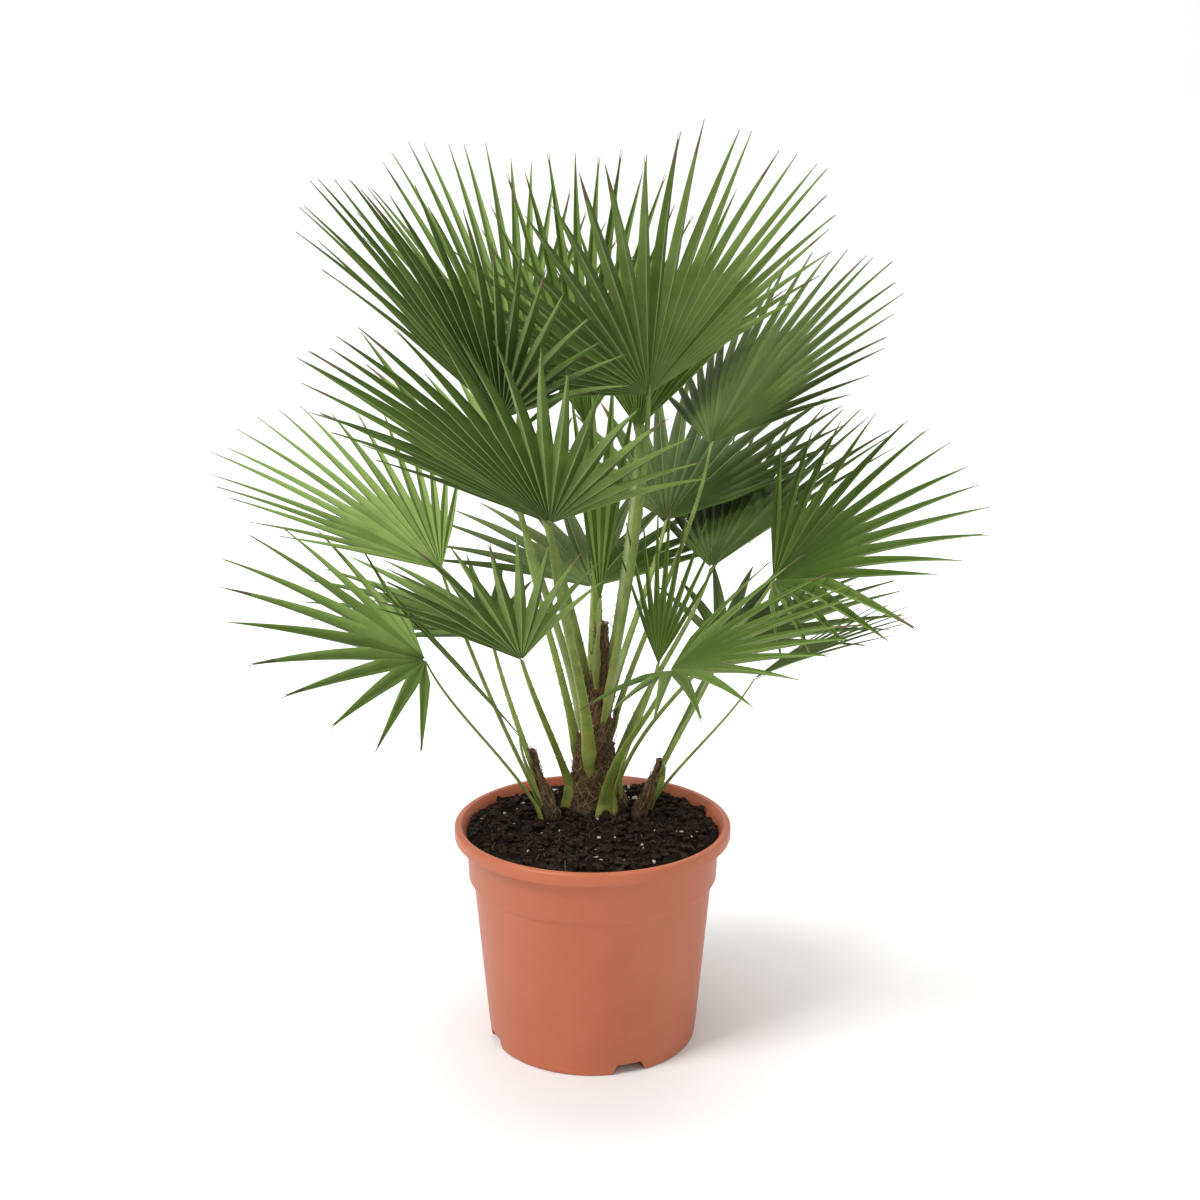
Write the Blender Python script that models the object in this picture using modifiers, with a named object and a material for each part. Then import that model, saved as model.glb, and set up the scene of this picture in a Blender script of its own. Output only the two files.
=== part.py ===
"""Potted fan palm: a clump of fan-leaved stems in a terracotta-coloured nursery pot.

Metres, +Z up. The origin is the centre of the pot's underside. The front of the plant is
towards -Y and its right-hand side is towards +X.

Each frond is a petiole, which is one tapering limb, and a blade. A blade is a fan of
V-folded leaflets that are joined near the hub and free beyond it. Leaflets that would
pass through another frond, a petiole or a stem are swung, lifted or shortened until clear.
"""

from dataclasses import dataclass
from math import cos, pi, radians, sin, tan
import random

import bmesh
import bpy
from mathutils import Vector
from mathutils.bvhtree import BVHTree

# Gap that neighbouring solids keep
GAP = 0.0003

# Nursery pot, 26 cm across its lip
RIM_RADIUS = 0.130
POT_HEIGHT = 0.2125
WALL = 0.0025
LIP_HEIGHT = 0.0120
LIP_INNER_RADIUS = 0.1225
LIP_ROUND = 0.0025
COLLAR_TOP_RADIUS = 0.1190
COLLAR_FOOT_RADIUS = 0.1172
COLLAR_FOOT_HEIGHT = 0.1610
BODY_TOP_RADIUS = 0.1125
BODY_TOP_HEIGHT = 0.1560
BODY_FOOT_RADIUS = 0.0995
FOOT_HEIGHT = 0.0100
FOOT_ROUND = 0.0040
FOOT_RING_WIDTH = 0.0060
CENTRE_PAD_RADIUS = 0.0420
POT_STEPS = 48
NOTCH_TURNS = (20, 110, 200, 290)
NOTCH_TOP_WIDTH = 0.0240
NOTCH_FOOT_WIDTH = 0.0340
DRAIN_TURNS = (0, 45, 90, 135, 180, 225, 270, 315)
DRAIN_CIRCLE_RADIUS = 0.0680
DRAIN_RADIUS = 0.0060

# Potting soil, flat where the stems stand and lower at the wall
SOIL_CROWN_HEIGHT = 0.2115
SOIL_CROWN_RADIUS = 0.0860
SOIL_EDGE_HEIGHT = 0.2040

# Blades and petioles
BLADE_THICKNESS = 0.0028
FOLD = 0.55
GUARD = 0.0006
SEAT_GAP = 0.0001
SEAT_STEP = 0.00025
FINE_SEAT_STEP = 0.0001
COARSE_SEAT_STEP = 0.0010
SEAT_SIDES = 24
PETIOLE_POINTS = 8
GUARD_SIDES = 10
SEED = 7


@dataclass(frozen=True)
class Stem:
    """A stem as stations of its axis: place and radius, from the soil to the tip."""

    name: str
    stations: tuple

    def at(self, height):
        """Axis point, direction and radius at a height above the soil."""
        z = SOIL_CROWN_HEIGHT + GAP + height
        for (low, low_radius), (high, high_radius) in zip(self.stations, self.stations[1:]):
            if z <= high[2] or (high, high_radius) == self.stations[-1]:
                share = (z - low[2]) / (high[2] - low[2])
                axis = Vector(low).lerp(Vector(high), share)
                direction = (Vector(high) - Vector(low)).normalized()
                return axis, direction, low_radius + (high_radius - low_radius) * share
        raise ValueError(height)


STEM_FOOT = SOIL_CROWN_HEIGHT + GAP
STEMS = (
    Stem("trunk", (
        ((0.004, 0.048, STEM_FOOT), 0.0300),
        ((0.004, 0.048, STEM_FOOT + 0.008), 0.0260),
        ((0.003, 0.047, 0.235), 0.0225),
        ((0.002, 0.046, 0.262), 0.0185),
        ((0.004, 0.045, 0.290), 0.0160),
        ((0.006, 0.044, 0.325), 0.0120),
        ((0.008, 0.043, 0.365), 0.0080),
        ((0.009, 0.042, 0.395), 0.0050),
    )),
    Stem("left_sucker", (
        ((-0.040, 0.012, STEM_FOOT), 0.0090),
        ((-0.040, 0.012, STEM_FOOT + 0.004), 0.0080),
        ((-0.045, 0.014, 0.232), 0.0065),
        ((-0.052, 0.016, 0.256), 0.0050),
        ((-0.058, 0.018, 0.278), 0.0030),
    )),
    Stem("right_sucker", (
        ((0.046, 0.022, STEM_FOOT), 0.0090),
        ((0.046, 0.022, STEM_FOOT + 0.004), 0.0080),
        ((0.051, 0.022, 0.228), 0.0065),
        ((0.058, 0.022, 0.248), 0.0048),
        ((0.064, 0.022, 0.266), 0.0030),
    )),
)


@dataclass(frozen=True)
class Frond:
    """One frond. Angles are in degrees: turns from +X towards +Y, rises above level."""

    name: str
    stem: str
    height: float
    turn: float
    hub: tuple
    aim: tuple
    roll: float
    reach: float
    spread: float
    leaflets: int
    cup: float = 12
    fall: float = 0.30
    split: float = 0.46
    droop: float = 0.06
    girth: float = 0.0045


FRONDS = (
    Frond("front_left", "trunk", 0.060, 255, (-0.036, -0.090, 0.518), (228, 36), 6, 0.274, 79, 24),
    Frond("left_high", "trunk", 0.100, 205, (-0.079, -0.030, 0.599), (247, 46), -19, 0.290, 55, 22,
          cup=5, fall=0.27),
    Frond("front_right_high", "trunk", 0.115, 300, (0.050, 0.000, 0.616), (272, 47), 23, 0.310, 70, 28,
          cup=4, fall=0.50),
    Frond("right_low", "trunk", 0.012, 285, (0.067, -0.100, 0.390), (323, 1), 14, 0.193, 89, 14,
          cup=21, fall=0.16, split=0.34, droop=0.08, girth=0.0045),
    Frond("left_low", "left_sucker", 0.012, 205, (-0.151, -0.030, 0.379), (208, 19), -28, 0.216, 77, 12,
          cup=9, fall=0.33, split=0.34, droop=0.08, girth=0.0028),
    Frond("right_mid", "trunk", 0.030, 335, (0.166, 0.010, 0.443), (348, 11), 27, 0.229, 88, 18,
          cup=24, fall=0.29, split=0.40, droop=0.08, girth=0.0035),
    Frond("left_mid", "left_sucker", 0.030, 160, (-0.140, 0.030, 0.449), (136, 18), -9, 0.288, 49, 18,
          cup=10, fall=0.50, split=0.38, girth=0.0030),
    Frond("front_left_low", "trunk", 0.022, 200, (-0.062, -0.080, 0.394), (263, 27), 11, 0.250, 40, 12,
          cup=15, fall=0.38, split=0.38, girth=0.0032),
    Frond("right_high", "trunk", 0.090, 20, (0.112, 0.090, 0.556), (38, 50), -8, 0.258, 68, 22,
          cup=0, fall=0.37, girth=0.0035),
    Frond("right_mid_back", "trunk", 0.045, 10, (0.117, 0.130, 0.427), (63, 28), -17, 0.270, 49, 16,
          cup=4, fall=0.21, girth=0.0035),
    Frond("young_left", "left_sucker", 0.040, 190, (-0.068, 0.000, 0.298), (203, 51), 0, 0.213, 9, 4,
          cup=0, fall=0.25, split=0.50, droop=0.0, girth=0.0022),
    Frond("young_centre", "trunk", 0.150, 250, (0.007, 0.026, 0.420), (80, 86), 0, 0.225, 12, 4,
          cup=0, fall=0.20, split=0.50, droop=0.0, girth=0.0035),
    Frond("young_right", "right_sucker", 0.036, 0, (0.066, 0.016, 0.268), (340, 64), 0, 0.130, 8, 3,
          cup=0, fall=0.20, split=0.50, droop=0.0, girth=0.0022),
    Frond("right_inner", "trunk", 0.015, 320, (0.061, 0.010, 0.364), (60, 76), 0, 0.165, 30, 9,
          cup=4, fall=0.25, split=0.34, girth=0.0028),
    Frond("right_low_back", "right_sucker", 0.014, 20, (0.154, 0.040, 0.341), (12, 16), 0, 0.170, 18, 8,
          cup=10, fall=0.25, split=0.34, girth=0.0022),
    Frond("left_high_back", "trunk", 0.125, 140, (-0.068, 0.100, 0.597), (114, 46), 14, 0.296, 50, 20,
          cup=15, fall=0.27),
    Frond("back_high_left", "trunk", 0.140, 95, (-0.006, 0.088, 0.575), (92, 72), 0, 0.275, 34, 14,
          girth=0.0038),
    Frond("back_high_right", "trunk", 0.110, 60, (0.045, 0.160, 0.560), (66, 56), 0, 0.275, 44, 16),
    Frond("back_left", "trunk", 0.060, 150, (-0.070, 0.170, 0.470), (140, 25), 0, 0.250, 72, 16,
          girth=0.0035),
    Frond("back_right", "trunk", 0.070, 70, (0.075, 0.200, 0.460), (65, 24), 0, 0.250, 70, 16,
          girth=0.0035),
    Frond("back_low", "trunk", 0.030, 100, (0.000, 0.200, 0.390), (95, 10), 0, 0.240, 84, 14,
          split=0.38, droop=0.08, girth=0.0032),
    Frond("back_low_left", "left_sucker", 0.020, 110, (-0.100, 0.120, 0.360), (150, 8), 0, 0.210, 80, 12,
          split=0.34, droop=0.08, girth=0.0028),
    Frond("back_low_right", "right_sucker", 0.020, 70, (0.130, 0.130, 0.345), (42, 8), 0, 0.210, 78, 12,
          split=0.34, droop=0.08, girth=0.0028),
)


def blade_frame(frond):
    """The blade's unit directions: along its aim, to its left, and out of its upper face."""
    turn, rise = (radians(angle) for angle in frond.aim)
    roll = radians(frond.roll)
    aim = Vector((cos(rise) * cos(turn), cos(rise) * sin(turn), sin(rise)))
    level = Vector((-sin(turn), cos(turn), 0.0))
    upright = aim.cross(level)
    side = level * cos(roll) + upright * sin(roll)
    return aim, side, aim.cross(side)


@dataclass
class Leaflet:
    """One leaflet of a blade: its angle in the fan, its length, and how it leaves the fan."""

    frond: Frond
    angle: float
    length: float
    swing: float = 0.0
    lift: float = 0.0

    def direction(self, angle):
        """The fan's direction at an angle from its aim."""
        aim, side, upper = blade_frame(self.frond)
        cup = radians(self.frond.cup)
        return (aim * cos(angle) + side * sin(angle)) * cos(cup) + upper * sin(cup)

    def split_radius(self, angle):
        """How far from the hub the fan is whole, at an angle from its aim."""
        frond = self.frond
        share = angle / radians(frond.spread)
        return frond.split * frond.reach * (1 - 0.42 * share * share)

    def point(self, across, along):
        """A point of the leaflet: across from -1 to 1, along 0 at hub, 1 at split, 2 at tip."""
        half_pitch = radians(self.frond.spread) / self.frond.leaflets
        edge_angle = self.angle + across * half_pitch
        _, _, upper = blade_frame(self.frond)
        fold = FOLD * half_pitch * (abs(across) - 0.5)
        split = self.split_radius(edge_angle)
        if along <= 1:
            radius = split * along
            sag = Vector((0, 0, -self.frond.droop)) * radius * radius / self.frond.reach
            return self.hub() + self.direction(edge_angle) * radius + upper * fold * radius + sag
        beyond = along - 1
        width = 1 - beyond ** 1.5
        middle_split = self.split_radius(self.angle)
        radius = middle_split + (self.length - middle_split) * beyond
        root = self.direction(self.angle) * middle_split
        edge = self.direction(edge_angle) * split + upper * fold * split
        run = radius - middle_split
        spine = self.direction(self.angle) * run
        tangent = self.direction(self.angle + 0.5 * pi).normalized()
        bend = (tangent * tan(self.swing) + upper * tan(self.lift)) * run
        sag = Vector((0, 0, -self.frond.droop)) * radius * radius / self.frond.reach
        return self.hub() + root + (edge - root) * width + spine + bend + sag

    def hub(self):
        """The point that all leaflets of the blade spring from."""
        return Vector(self.frond.hub)


def strip_faces(rows, ring, closed):
    """Quads between successive rows of a grid of points, numbered row by row."""
    spans = ring if closed else ring - 1
    faces = []
    for row in range(rows - 1):
        for place in range(spans):
            after = (place + 1) % ring
            low, high = row * ring, (row + 1) * ring
            faces.append((low + place, low + after, high + after, high + place))
    return faces


def leaflet_guard(leaflet, first_row=0.3):
    """Search tree of the space that a leaflet takes, a little thicker than the leaflet."""
    upper = blade_frame(leaflet.frond)[2] * (0.6 * BLADE_THICKNESS + GUARD)
    points = []
    for along in (first_row, 1.0, 1.35, 1.7, 2.0):
        above = [leaflet.point(across, along) + upper for across in (-1.08, 0, 1.08)]
        below = [leaflet.point(across, along) - upper for across in (1.08, 0, -1.08)]
        points += above + below
    return BVHTree.FromPolygons(points, strip_faces(5, 6, True))


def tube_guard(path, radii, sides=GUARD_SIDES, spare=GUARD):
    """Search tree of a tube through the path's points, spare thicker than the tube."""
    points = []
    for place, centre in enumerate(path):
        before, after = path[max(place - 1, 0)], path[min(place + 1, len(path) - 1)]
        direction = (after - before).normalized()
        across = direction.orthogonal().normalized()
        other = direction.cross(across)
        for side in range(sides):
            turn = 2 * pi * side / sides
            reach = radii[place] / cos(pi / sides) + spare
            points.append(centre + (across * cos(turn) + other * sin(turn)) * reach)
    faces = strip_faces(len(path), sides, True)
    faces.append(tuple(range(sides)))
    faces.append(tuple(range(len(points) - sides, len(points))))
    return BVHTree.FromPolygons(points, faces)


def stem_guard(stem):
    """Search tree of a stem, with the least gap that its petioles keep."""
    path = [Vector(place) for place, _ in stem.stations]
    return tube_guard(path, [radius for _, radius in stem.stations], SEAT_SIDES, SEAT_GAP)


def touches(tree, others):
    """Whether the search tree meets any of the others."""
    return any(tree.overlap(other) for other in others)


def petiole_radii(frond):
    """Radii along a petiole: broad at the sheath, slim at the hub."""
    shares = [place / (PETIOLE_POINTS - 1) for place in range(PETIOLE_POINTS)]
    return [frond.girth * (1.25 - 0.45 * share - 0.25 * share ** 3) for share in shares]


def petiole_path(frond, stem, height, turn, clear_of_stem, clear_of_hub):
    """Points of a petiole that leaves its stem upright and arches over to the hub."""
    axis, stem_direction, _ = stem.at(height)
    outward = Vector((cos(radians(turn)), sin(radians(turn)), 0.0))
    foot = axis + outward * clear_of_stem
    hub = Vector(frond.hub)
    _, _, upper = blade_frame(frond)
    chord = (hub - foot).normalized()
    lean = 0.65 if frond.spread > 90 else 0.25
    arrival = (chord + upper * lean).normalized()
    end = hub - arrival * clear_of_hub
    length = (end - foot).length
    start = (stem_direction * 0.8 + outward * 0.2 + chord * 0.4).normalized()
    first, second = foot + start * 0.35 * length, end - arrival * 0.30 * length
    path = []
    for place in range(PETIOLE_POINTS):
        share = place / (PETIOLE_POINTS - 1)
        rest = 1 - share
        path.append(foot * rest ** 3 + first * 3 * rest ** 2 * share
                    + second * 3 * rest * share ** 2 + end * share ** 3)
    return path


def resting_leaflets(frond):
    """The leaflets of a frond as they would stand with nothing in their way."""
    dice = random.Random(f"{SEED} {frond.name}")
    spread = radians(frond.spread)
    leaflets = []
    for place in range(frond.leaflets):
        angle = -spread + 2 * spread * (place + 0.5) / frond.leaflets
        shorter = 1 - frond.fall * (angle / spread) ** 2
        length = frond.reach * shorter * dice.uniform(0.95, 1.02)
        leaflets.append(Leaflet(frond, angle, length, lift=radians(dice.uniform(-3, 3))))
    return leaflets


def seated_petiole(frond, stem, guards):
    """A petiole's path, seated on its stem and under its hub, clear of the other petioles."""
    stem_tree = stem_guard(stem)
    radii = petiole_radii(frond)
    blade = [leaflet_guard(leaflet, 0.02) for leaflet in resting_leaflets(frond)]
    for raised, turned in ((raised, turned) for raised in (0, 0.010, -0.008, 0.020, 0.030)
                           for turned in (0, 14, -14, 28, -28, 42, -42)):
        height, turn = max(frond.height + raised, 0.006), frond.turn + turned
        hub_gap = GAP
        stem_gap = stem.at(height)[2] + radii[0] + 0.006
        path = petiole_path(frond, stem, height, turn, stem_gap, hub_gap)
        while touches(tube_guard(path, radii, spare=GAP), blade):
            hub_gap += SEAT_STEP
            if hub_gap > 0.02:
                raise ValueError(f"{frond.name}: no seat under the hub")
            path = petiole_path(frond, stem, height, turn, stem_gap, hub_gap)
        for step in (COARSE_SEAT_STEP, FINE_SEAT_STEP):
            while stem_gap > step:
                closer = petiole_path(frond, stem, height, turn, stem_gap - step, hub_gap)
                if touches(tube_guard(closer, radii, SEAT_SIDES, 0), [stem_tree]):
                    break
                path, stem_gap = closer, stem_gap - step
        if not touches(tube_guard(path, radii), guards):
            return path, radii
    raise ValueError(f"{frond.name}: no clear place for its petiole")


def cleared(leaflet, obstacles):
    """The leaflet, swung, lifted or shortened as little as frees it from the obstacles."""
    pitch = 2 * leaflet.frond.spread / leaflet.frond.leaflets
    swings = (0, 0.3 * pitch, -0.3 * pitch)
    lifts = (0, 5, -5, 10, -10, 16, -16, 22, -22, 30, -30)
    for share in (1.0, 0.88, 0.76, 0.64, 0.52, 0.42):
        for lift, swing in ((lift, swing) for lift in lifts for swing in swings):
            length = max(leaflet.length * share, 1.12 * leaflet.split_radius(leaflet.angle))
            tried = Leaflet(leaflet.frond, leaflet.angle, length,
                            radians(swing), leaflet.lift + radians(lift))
            if not touches(leaflet_guard(tried), obstacles):
                return tried
    return None


def free_run(leaflets, obstacles):
    """The leaflets from the first one on, up to one that nothing frees."""
    run = []
    for leaflet in leaflets:
        free = cleared(leaflet, obstacles)
        if free is None:
            break
        run.append(free)
    return run


def grown(fronds, stems):
    """Every frond's petiole and leaflets, each clear of all that came before it."""
    by_name = {stem.name: stem for stem in stems}
    stem_trees = [stem_guard(stem) for stem in stems]
    petioles = {}
    guards = []
    for frond in fronds:
        stem = by_name[frond.stem]
        others = [tree for tree, each in zip(stem_trees, stems) if each is not stem]
        path, radii = seated_petiole(frond, stem, guards + others)
        petioles[frond.name] = (path, radii)
        guards.append(tube_guard(path, radii))
    obstacles = stem_trees + guards
    blades = {}
    for frond in fronds:
        resting = resting_leaflets(frond)
        middle = len(resting) // 2
        leaflets = free_run(resting[:middle][::-1], obstacles)[::-1]
        leaflets += free_run(resting[middle:], obstacles)
        obstacles += [leaflet_guard(leaflet, 0.1) for leaflet in leaflets]
        blades[frond.name] = leaflets
    return petioles, blades


def collection_named(name):
    """A new collection in the scene."""
    collection = bpy.data.collections.new(name)
    bpy.context.scene.collection.children.link(collection)
    return collection


def material_named(name, colour, roughness):
    """A Principled material of one colour."""
    material = bpy.data.materials.new(name)
    material.use_nodes = True
    shader = material.node_tree.nodes["Principled BSDF"]
    shader.inputs["Base Color"].default_value = (*colour, 1.0)
    shader.inputs["Roughness"].default_value = roughness
    shader.inputs["Metallic"].default_value = 0.0
    material.diffuse_color = (*colour, 1.0)
    return material


def object_of(name, data, collection, material=None):
    """An object for the data, in the collection, with the material."""
    made = bpy.data.objects.new(name, data)
    collection.objects.link(made)
    if material:
        data.materials.append(material)
    return made


def turned_object(name, profile, collection, material):
    """A solid turned about the Z axis from a profile of (radius, height) points."""
    shape = bmesh.new()
    corners = [shape.verts.new((radius, 0.0, height)) for radius, height in profile]
    for start, end in zip(corners, corners[1:]):
        shape.edges.new((start, end))
    data = bpy.data.meshes.new(name)
    shape.to_mesh(data)
    shape.free()
    made = object_of(name, data, collection, material)
    screw = made.modifiers.new("turn", "SCREW")
    screw.axis = "Z"
    screw.steps = screw.render_steps = POT_STEPS
    screw.use_merge_vertices = True
    screw.merge_threshold = 0.0001
    screw.use_smooth_shade = True
    return made


def pot_inside():
    """The inner side of the pot as (radius, height), from the centre of its floor upwards."""
    floor = FOOT_HEIGHT + 0.0015 + WALL
    return [
        (0.0, WALL),
        (CENTRE_PAD_RADIUS, WALL),
        (CENTRE_PAD_RADIUS + floor - WALL, floor),
        (BODY_FOOT_RADIUS - WALL - 0.004, floor),
        (BODY_FOOT_RADIUS - WALL + 0.001, floor + 0.006),
        (BODY_TOP_RADIUS - WALL, BODY_TOP_HEIGHT),
        (COLLAR_FOOT_RADIUS - WALL, COLLAR_FOOT_HEIGHT + 0.001),
        (COLLAR_TOP_RADIUS - WALL, POT_HEIGHT - LIP_HEIGHT - 0.001),
        (LIP_INNER_RADIUS, POT_HEIGHT - 0.0015),
        (LIP_INNER_RADIUS + 0.0015, POT_HEIGHT),
    ]


def pot_outside():
    """The outer side of the pot as (radius, height), from its lip down to its centre."""
    lip_foot = POT_HEIGHT - LIP_HEIGHT
    ring_outer = BODY_FOOT_RADIUS - FOOT_ROUND + 0.001
    ring_inner = ring_outer - FOOT_RING_WIDTH
    under = FOOT_HEIGHT + 0.0015
    return [
        (RIM_RADIUS - LIP_ROUND, POT_HEIGHT),
        (RIM_RADIUS - 0.3 * LIP_ROUND, POT_HEIGHT - 0.3 * LIP_ROUND),
        (RIM_RADIUS, POT_HEIGHT - LIP_ROUND),
        (RIM_RADIUS, lip_foot + 0.0015),
        (RIM_RADIUS - 0.0015, lip_foot),
        (COLLAR_TOP_RADIUS, lip_foot - 0.0005),
        (COLLAR_FOOT_RADIUS, COLLAR_FOOT_HEIGHT),
        (BODY_TOP_RADIUS, BODY_TOP_HEIGHT),
        (BODY_FOOT_RADIUS, FOOT_HEIGHT + 0.002),
        (BODY_FOOT_RADIUS - 0.0008, FOOT_ROUND),
        (BODY_FOOT_RADIUS - 0.35 * FOOT_ROUND, 0.3 * FOOT_ROUND),
        (ring_outer, 0.0),
        (ring_inner, 0.0),
        (ring_inner - 0.001, under),
        (CENTRE_PAD_RADIUS + under, under),
        (CENTRE_PAD_RADIUS, 0.0),
        (0.0, 0.0),
    ]


def soil_profile():
    """The soil as (radius, height): its crown, then down the pot's wall to the floor."""
    inside = pot_inside()
    wall_low, wall_high = inside[-3], inside[-2]
    share = (SOIL_EDGE_HEIGHT - wall_low[1]) / (wall_high[1] - wall_low[1])
    edge = wall_low[0] + (wall_high[0] - wall_low[0]) * share
    top = [
        (0.0, SOIL_CROWN_HEIGHT),
        (SOIL_CROWN_RADIUS, SOIL_CROWN_HEIGHT),
        (0.5 * (SOIL_CROWN_RADIUS + edge), 0.5 * (SOIL_CROWN_HEIGHT + SOIL_EDGE_HEIGHT) + 0.001),
        (edge - 2 * GAP, SOIL_EDGE_HEIGHT),
    ]
    sides = [(max(radius - 2 * GAP, 0.0), height + 1.5 * GAP) for radius, height in inside[:-2]]
    return top + sides[::-1]


def cutter_object(name, data, cutters):
    """An object that only cuts: it is left out of renders and shown as wire."""
    cutter = object_of(name, data, cutters)
    cutter.hide_render = True
    cutter.display_type = "WIRE"
    return cutter


def notch_cutter(name, cutters):
    """A block whose sides lean in towards its top, for a notch in the foot ring."""
    shape = bmesh.new()
    bmesh.ops.create_cube(shape, size=1.0)
    for corner in shape.verts:
        top = corner.co.z > 0
        width = NOTCH_TOP_WIDTH if top else NOTCH_FOOT_WIDTH + 0.0050
        corner.co.x = BODY_FOOT_RADIUS + (0.010 if corner.co.x > 0 else -0.022)
        corner.co.y *= width
        corner.co.z = FOOT_HEIGHT if top else -0.0050
    data = bpy.data.meshes.new(name)
    shape.to_mesh(data)
    shape.free()
    return cutter_object(name, data, cutters)


def drain_cutter(name, cutters):
    """A round pin for a drainage hole in the raised ring of the floor."""
    shape = bmesh.new()
    bmesh.ops.create_cone(shape, cap_ends=True, segments=10, depth=0.020,
                          radius1=DRAIN_RADIUS, radius2=DRAIN_RADIUS)
    for corner in shape.verts:
        corner.co.x += DRAIN_CIRCLE_RADIUS
        corner.co.z += FOOT_HEIGHT + WALL
    data = bpy.data.meshes.new(name)
    shape.to_mesh(data)
    shape.free()
    return cutter_object(name, data, cutters)


def build_pot(plant, cutters):
    """The nursery pot: a thin turned wall with a lip, a collar, foot notches and drain holes."""
    plastic = material_named("terracotta_plastic", (0.52, 0.17, 0.085), 0.5)
    pot = turned_object("pot", pot_inside() + pot_outside(), plant, plastic)
    for turn in NOTCH_TURNS:
        notch_cutter(f"notch_{turn}", cutters).rotation_euler.z = radians(turn)
    for turn in DRAIN_TURNS:
        drain_cutter(f"drain_{turn}", cutters).rotation_euler.z = radians(turn)
    cut = pot.modifiers.new("notches and drain holes", "BOOLEAN")
    cut.operation = "DIFFERENCE"
    cut.operand_type = "COLLECTION"
    cut.collection = cutters
    cut.solver = "EXACT"
    return pot


def tube_object(name, path, radii, bevel_resolution, collection, material):
    """A tapering limb: a curve through the path, as thick as its radii, with filled caps."""
    curve = bpy.data.curves.new(name, "CURVE")
    curve.dimensions = "3D"
    curve.bevel_depth = 1.0
    curve.bevel_resolution = bevel_resolution
    curve.use_fill_caps = True
    curve.twist_mode = "MINIMUM"
    spline = curve.splines.new("POLY")
    spline.points.add(len(path) - 1)
    for point, place, radius in zip(spline.points, path, radii):
        point.co = (*place, 1.0)
        point.radius = radius
    return object_of(name, curve, collection, material)


def blade_object(name, leaflets, collection, material):
    """A blade: a folded sheet for each leaflet, welded up to the split, then thickened."""
    shape = bmesh.new()
    for leaflet in leaflets:
        sheet = bmesh.ops.create_grid(shape, x_segments=2, y_segments=3, size=1.0)["verts"]
        for corner in sheet:
            row = round((corner.co.y + 1) * 1.5)
            along = (0.0, 1.0, 1.55, 2.0)[row]
            corner.co = leaflet.point(corner.co.x, along)
    bmesh.ops.remove_doubles(shape, verts=shape.verts, dist=0.00002)
    bmesh.ops.recalc_face_normals(shape, faces=shape.faces)
    data = bpy.data.meshes.new(name)
    shape.to_mesh(data)
    shape.free()
    made = object_of(name, data, collection, material)
    thicken = made.modifiers.new("thickness", "SOLIDIFY")
    thicken.thickness = BLADE_THICKNESS
    thicken.offset = 0.0
    return made


def build_plant(plant):
    """The stems, then each frond's petiole and blade."""
    bark = material_named("fibrous_bark", (0.13, 0.065, 0.035), 0.9)
    petiole_green = material_named("petiole_green", (0.22, 0.34, 0.07), 0.5)
    leaf_green = material_named("leaf_green", (0.10, 0.22, 0.05), 0.5)
    for stem in STEMS:
        path = [Vector(place) for place, _ in stem.stations]
        tube_object(stem.name, path, [radius for _, radius in stem.stations], 8, plant, bark)
    petioles, blades = grown(FRONDS, STEMS)
    for frond in FRONDS:
        path, radii = petioles[frond.name]
        tube_object(f"petiole_{frond.name}", path, radii, 2, plant, petiole_green)
        blade_object(f"frond_{frond.name}", blades[frond.name], plant, leaf_green)


def main():
    """Clears the scene and models the potted palm."""
    for old in list(bpy.data.objects):
        bpy.data.objects.remove(old, do_unlink=True)
    plant = collection_named("potted_fan_palm")
    cutters = collection_named("cutters")
    build_pot(plant, cutters)
    soil = material_named("potting_soil", (0.022, 0.015, 0.011), 0.95)
    turned_object("soil", soil_profile(), plant, soil)
    build_plant(plant)


if __name__ == "__main__":
    main()
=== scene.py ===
"""Looks of the potted fan palm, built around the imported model.

Metres, +Z up, the front of the plant towards -Y. The fronds follow the growth rule of the
solids: petioles arch from their stems to the hubs, and leaflets are swung, lifted or
shortened until they are clear of each other.
"""

from collections.abc import Callable, Iterable, Sequence
from dataclasses import dataclass, field
from enum import Enum
import logging
from math import cos, pi, radians, sin, tan
import random

import bmesh
import bpy
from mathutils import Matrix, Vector, noise
from mathutils.bvhtree import BVHTree


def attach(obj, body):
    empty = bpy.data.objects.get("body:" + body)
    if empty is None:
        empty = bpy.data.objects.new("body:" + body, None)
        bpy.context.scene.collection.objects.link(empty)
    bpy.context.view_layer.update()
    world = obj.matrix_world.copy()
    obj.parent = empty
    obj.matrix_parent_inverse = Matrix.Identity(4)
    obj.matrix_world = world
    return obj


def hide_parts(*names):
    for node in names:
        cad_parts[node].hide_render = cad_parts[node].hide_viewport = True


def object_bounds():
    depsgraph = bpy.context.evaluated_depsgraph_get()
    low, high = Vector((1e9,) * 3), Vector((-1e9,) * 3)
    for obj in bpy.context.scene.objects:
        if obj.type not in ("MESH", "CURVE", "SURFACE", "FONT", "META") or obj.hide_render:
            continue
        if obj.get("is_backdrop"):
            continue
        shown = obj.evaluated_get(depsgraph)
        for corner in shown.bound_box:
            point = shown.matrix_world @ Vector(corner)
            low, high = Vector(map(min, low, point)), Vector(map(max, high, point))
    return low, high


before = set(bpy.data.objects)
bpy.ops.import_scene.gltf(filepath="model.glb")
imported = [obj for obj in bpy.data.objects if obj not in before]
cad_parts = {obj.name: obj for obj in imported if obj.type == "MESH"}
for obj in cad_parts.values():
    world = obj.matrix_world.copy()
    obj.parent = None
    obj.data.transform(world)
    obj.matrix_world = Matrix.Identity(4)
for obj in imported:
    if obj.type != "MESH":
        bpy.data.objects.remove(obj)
CAD_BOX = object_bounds()
LOG = logging.getLogger("potted_fan_palm")
BODY = "root"

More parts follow.
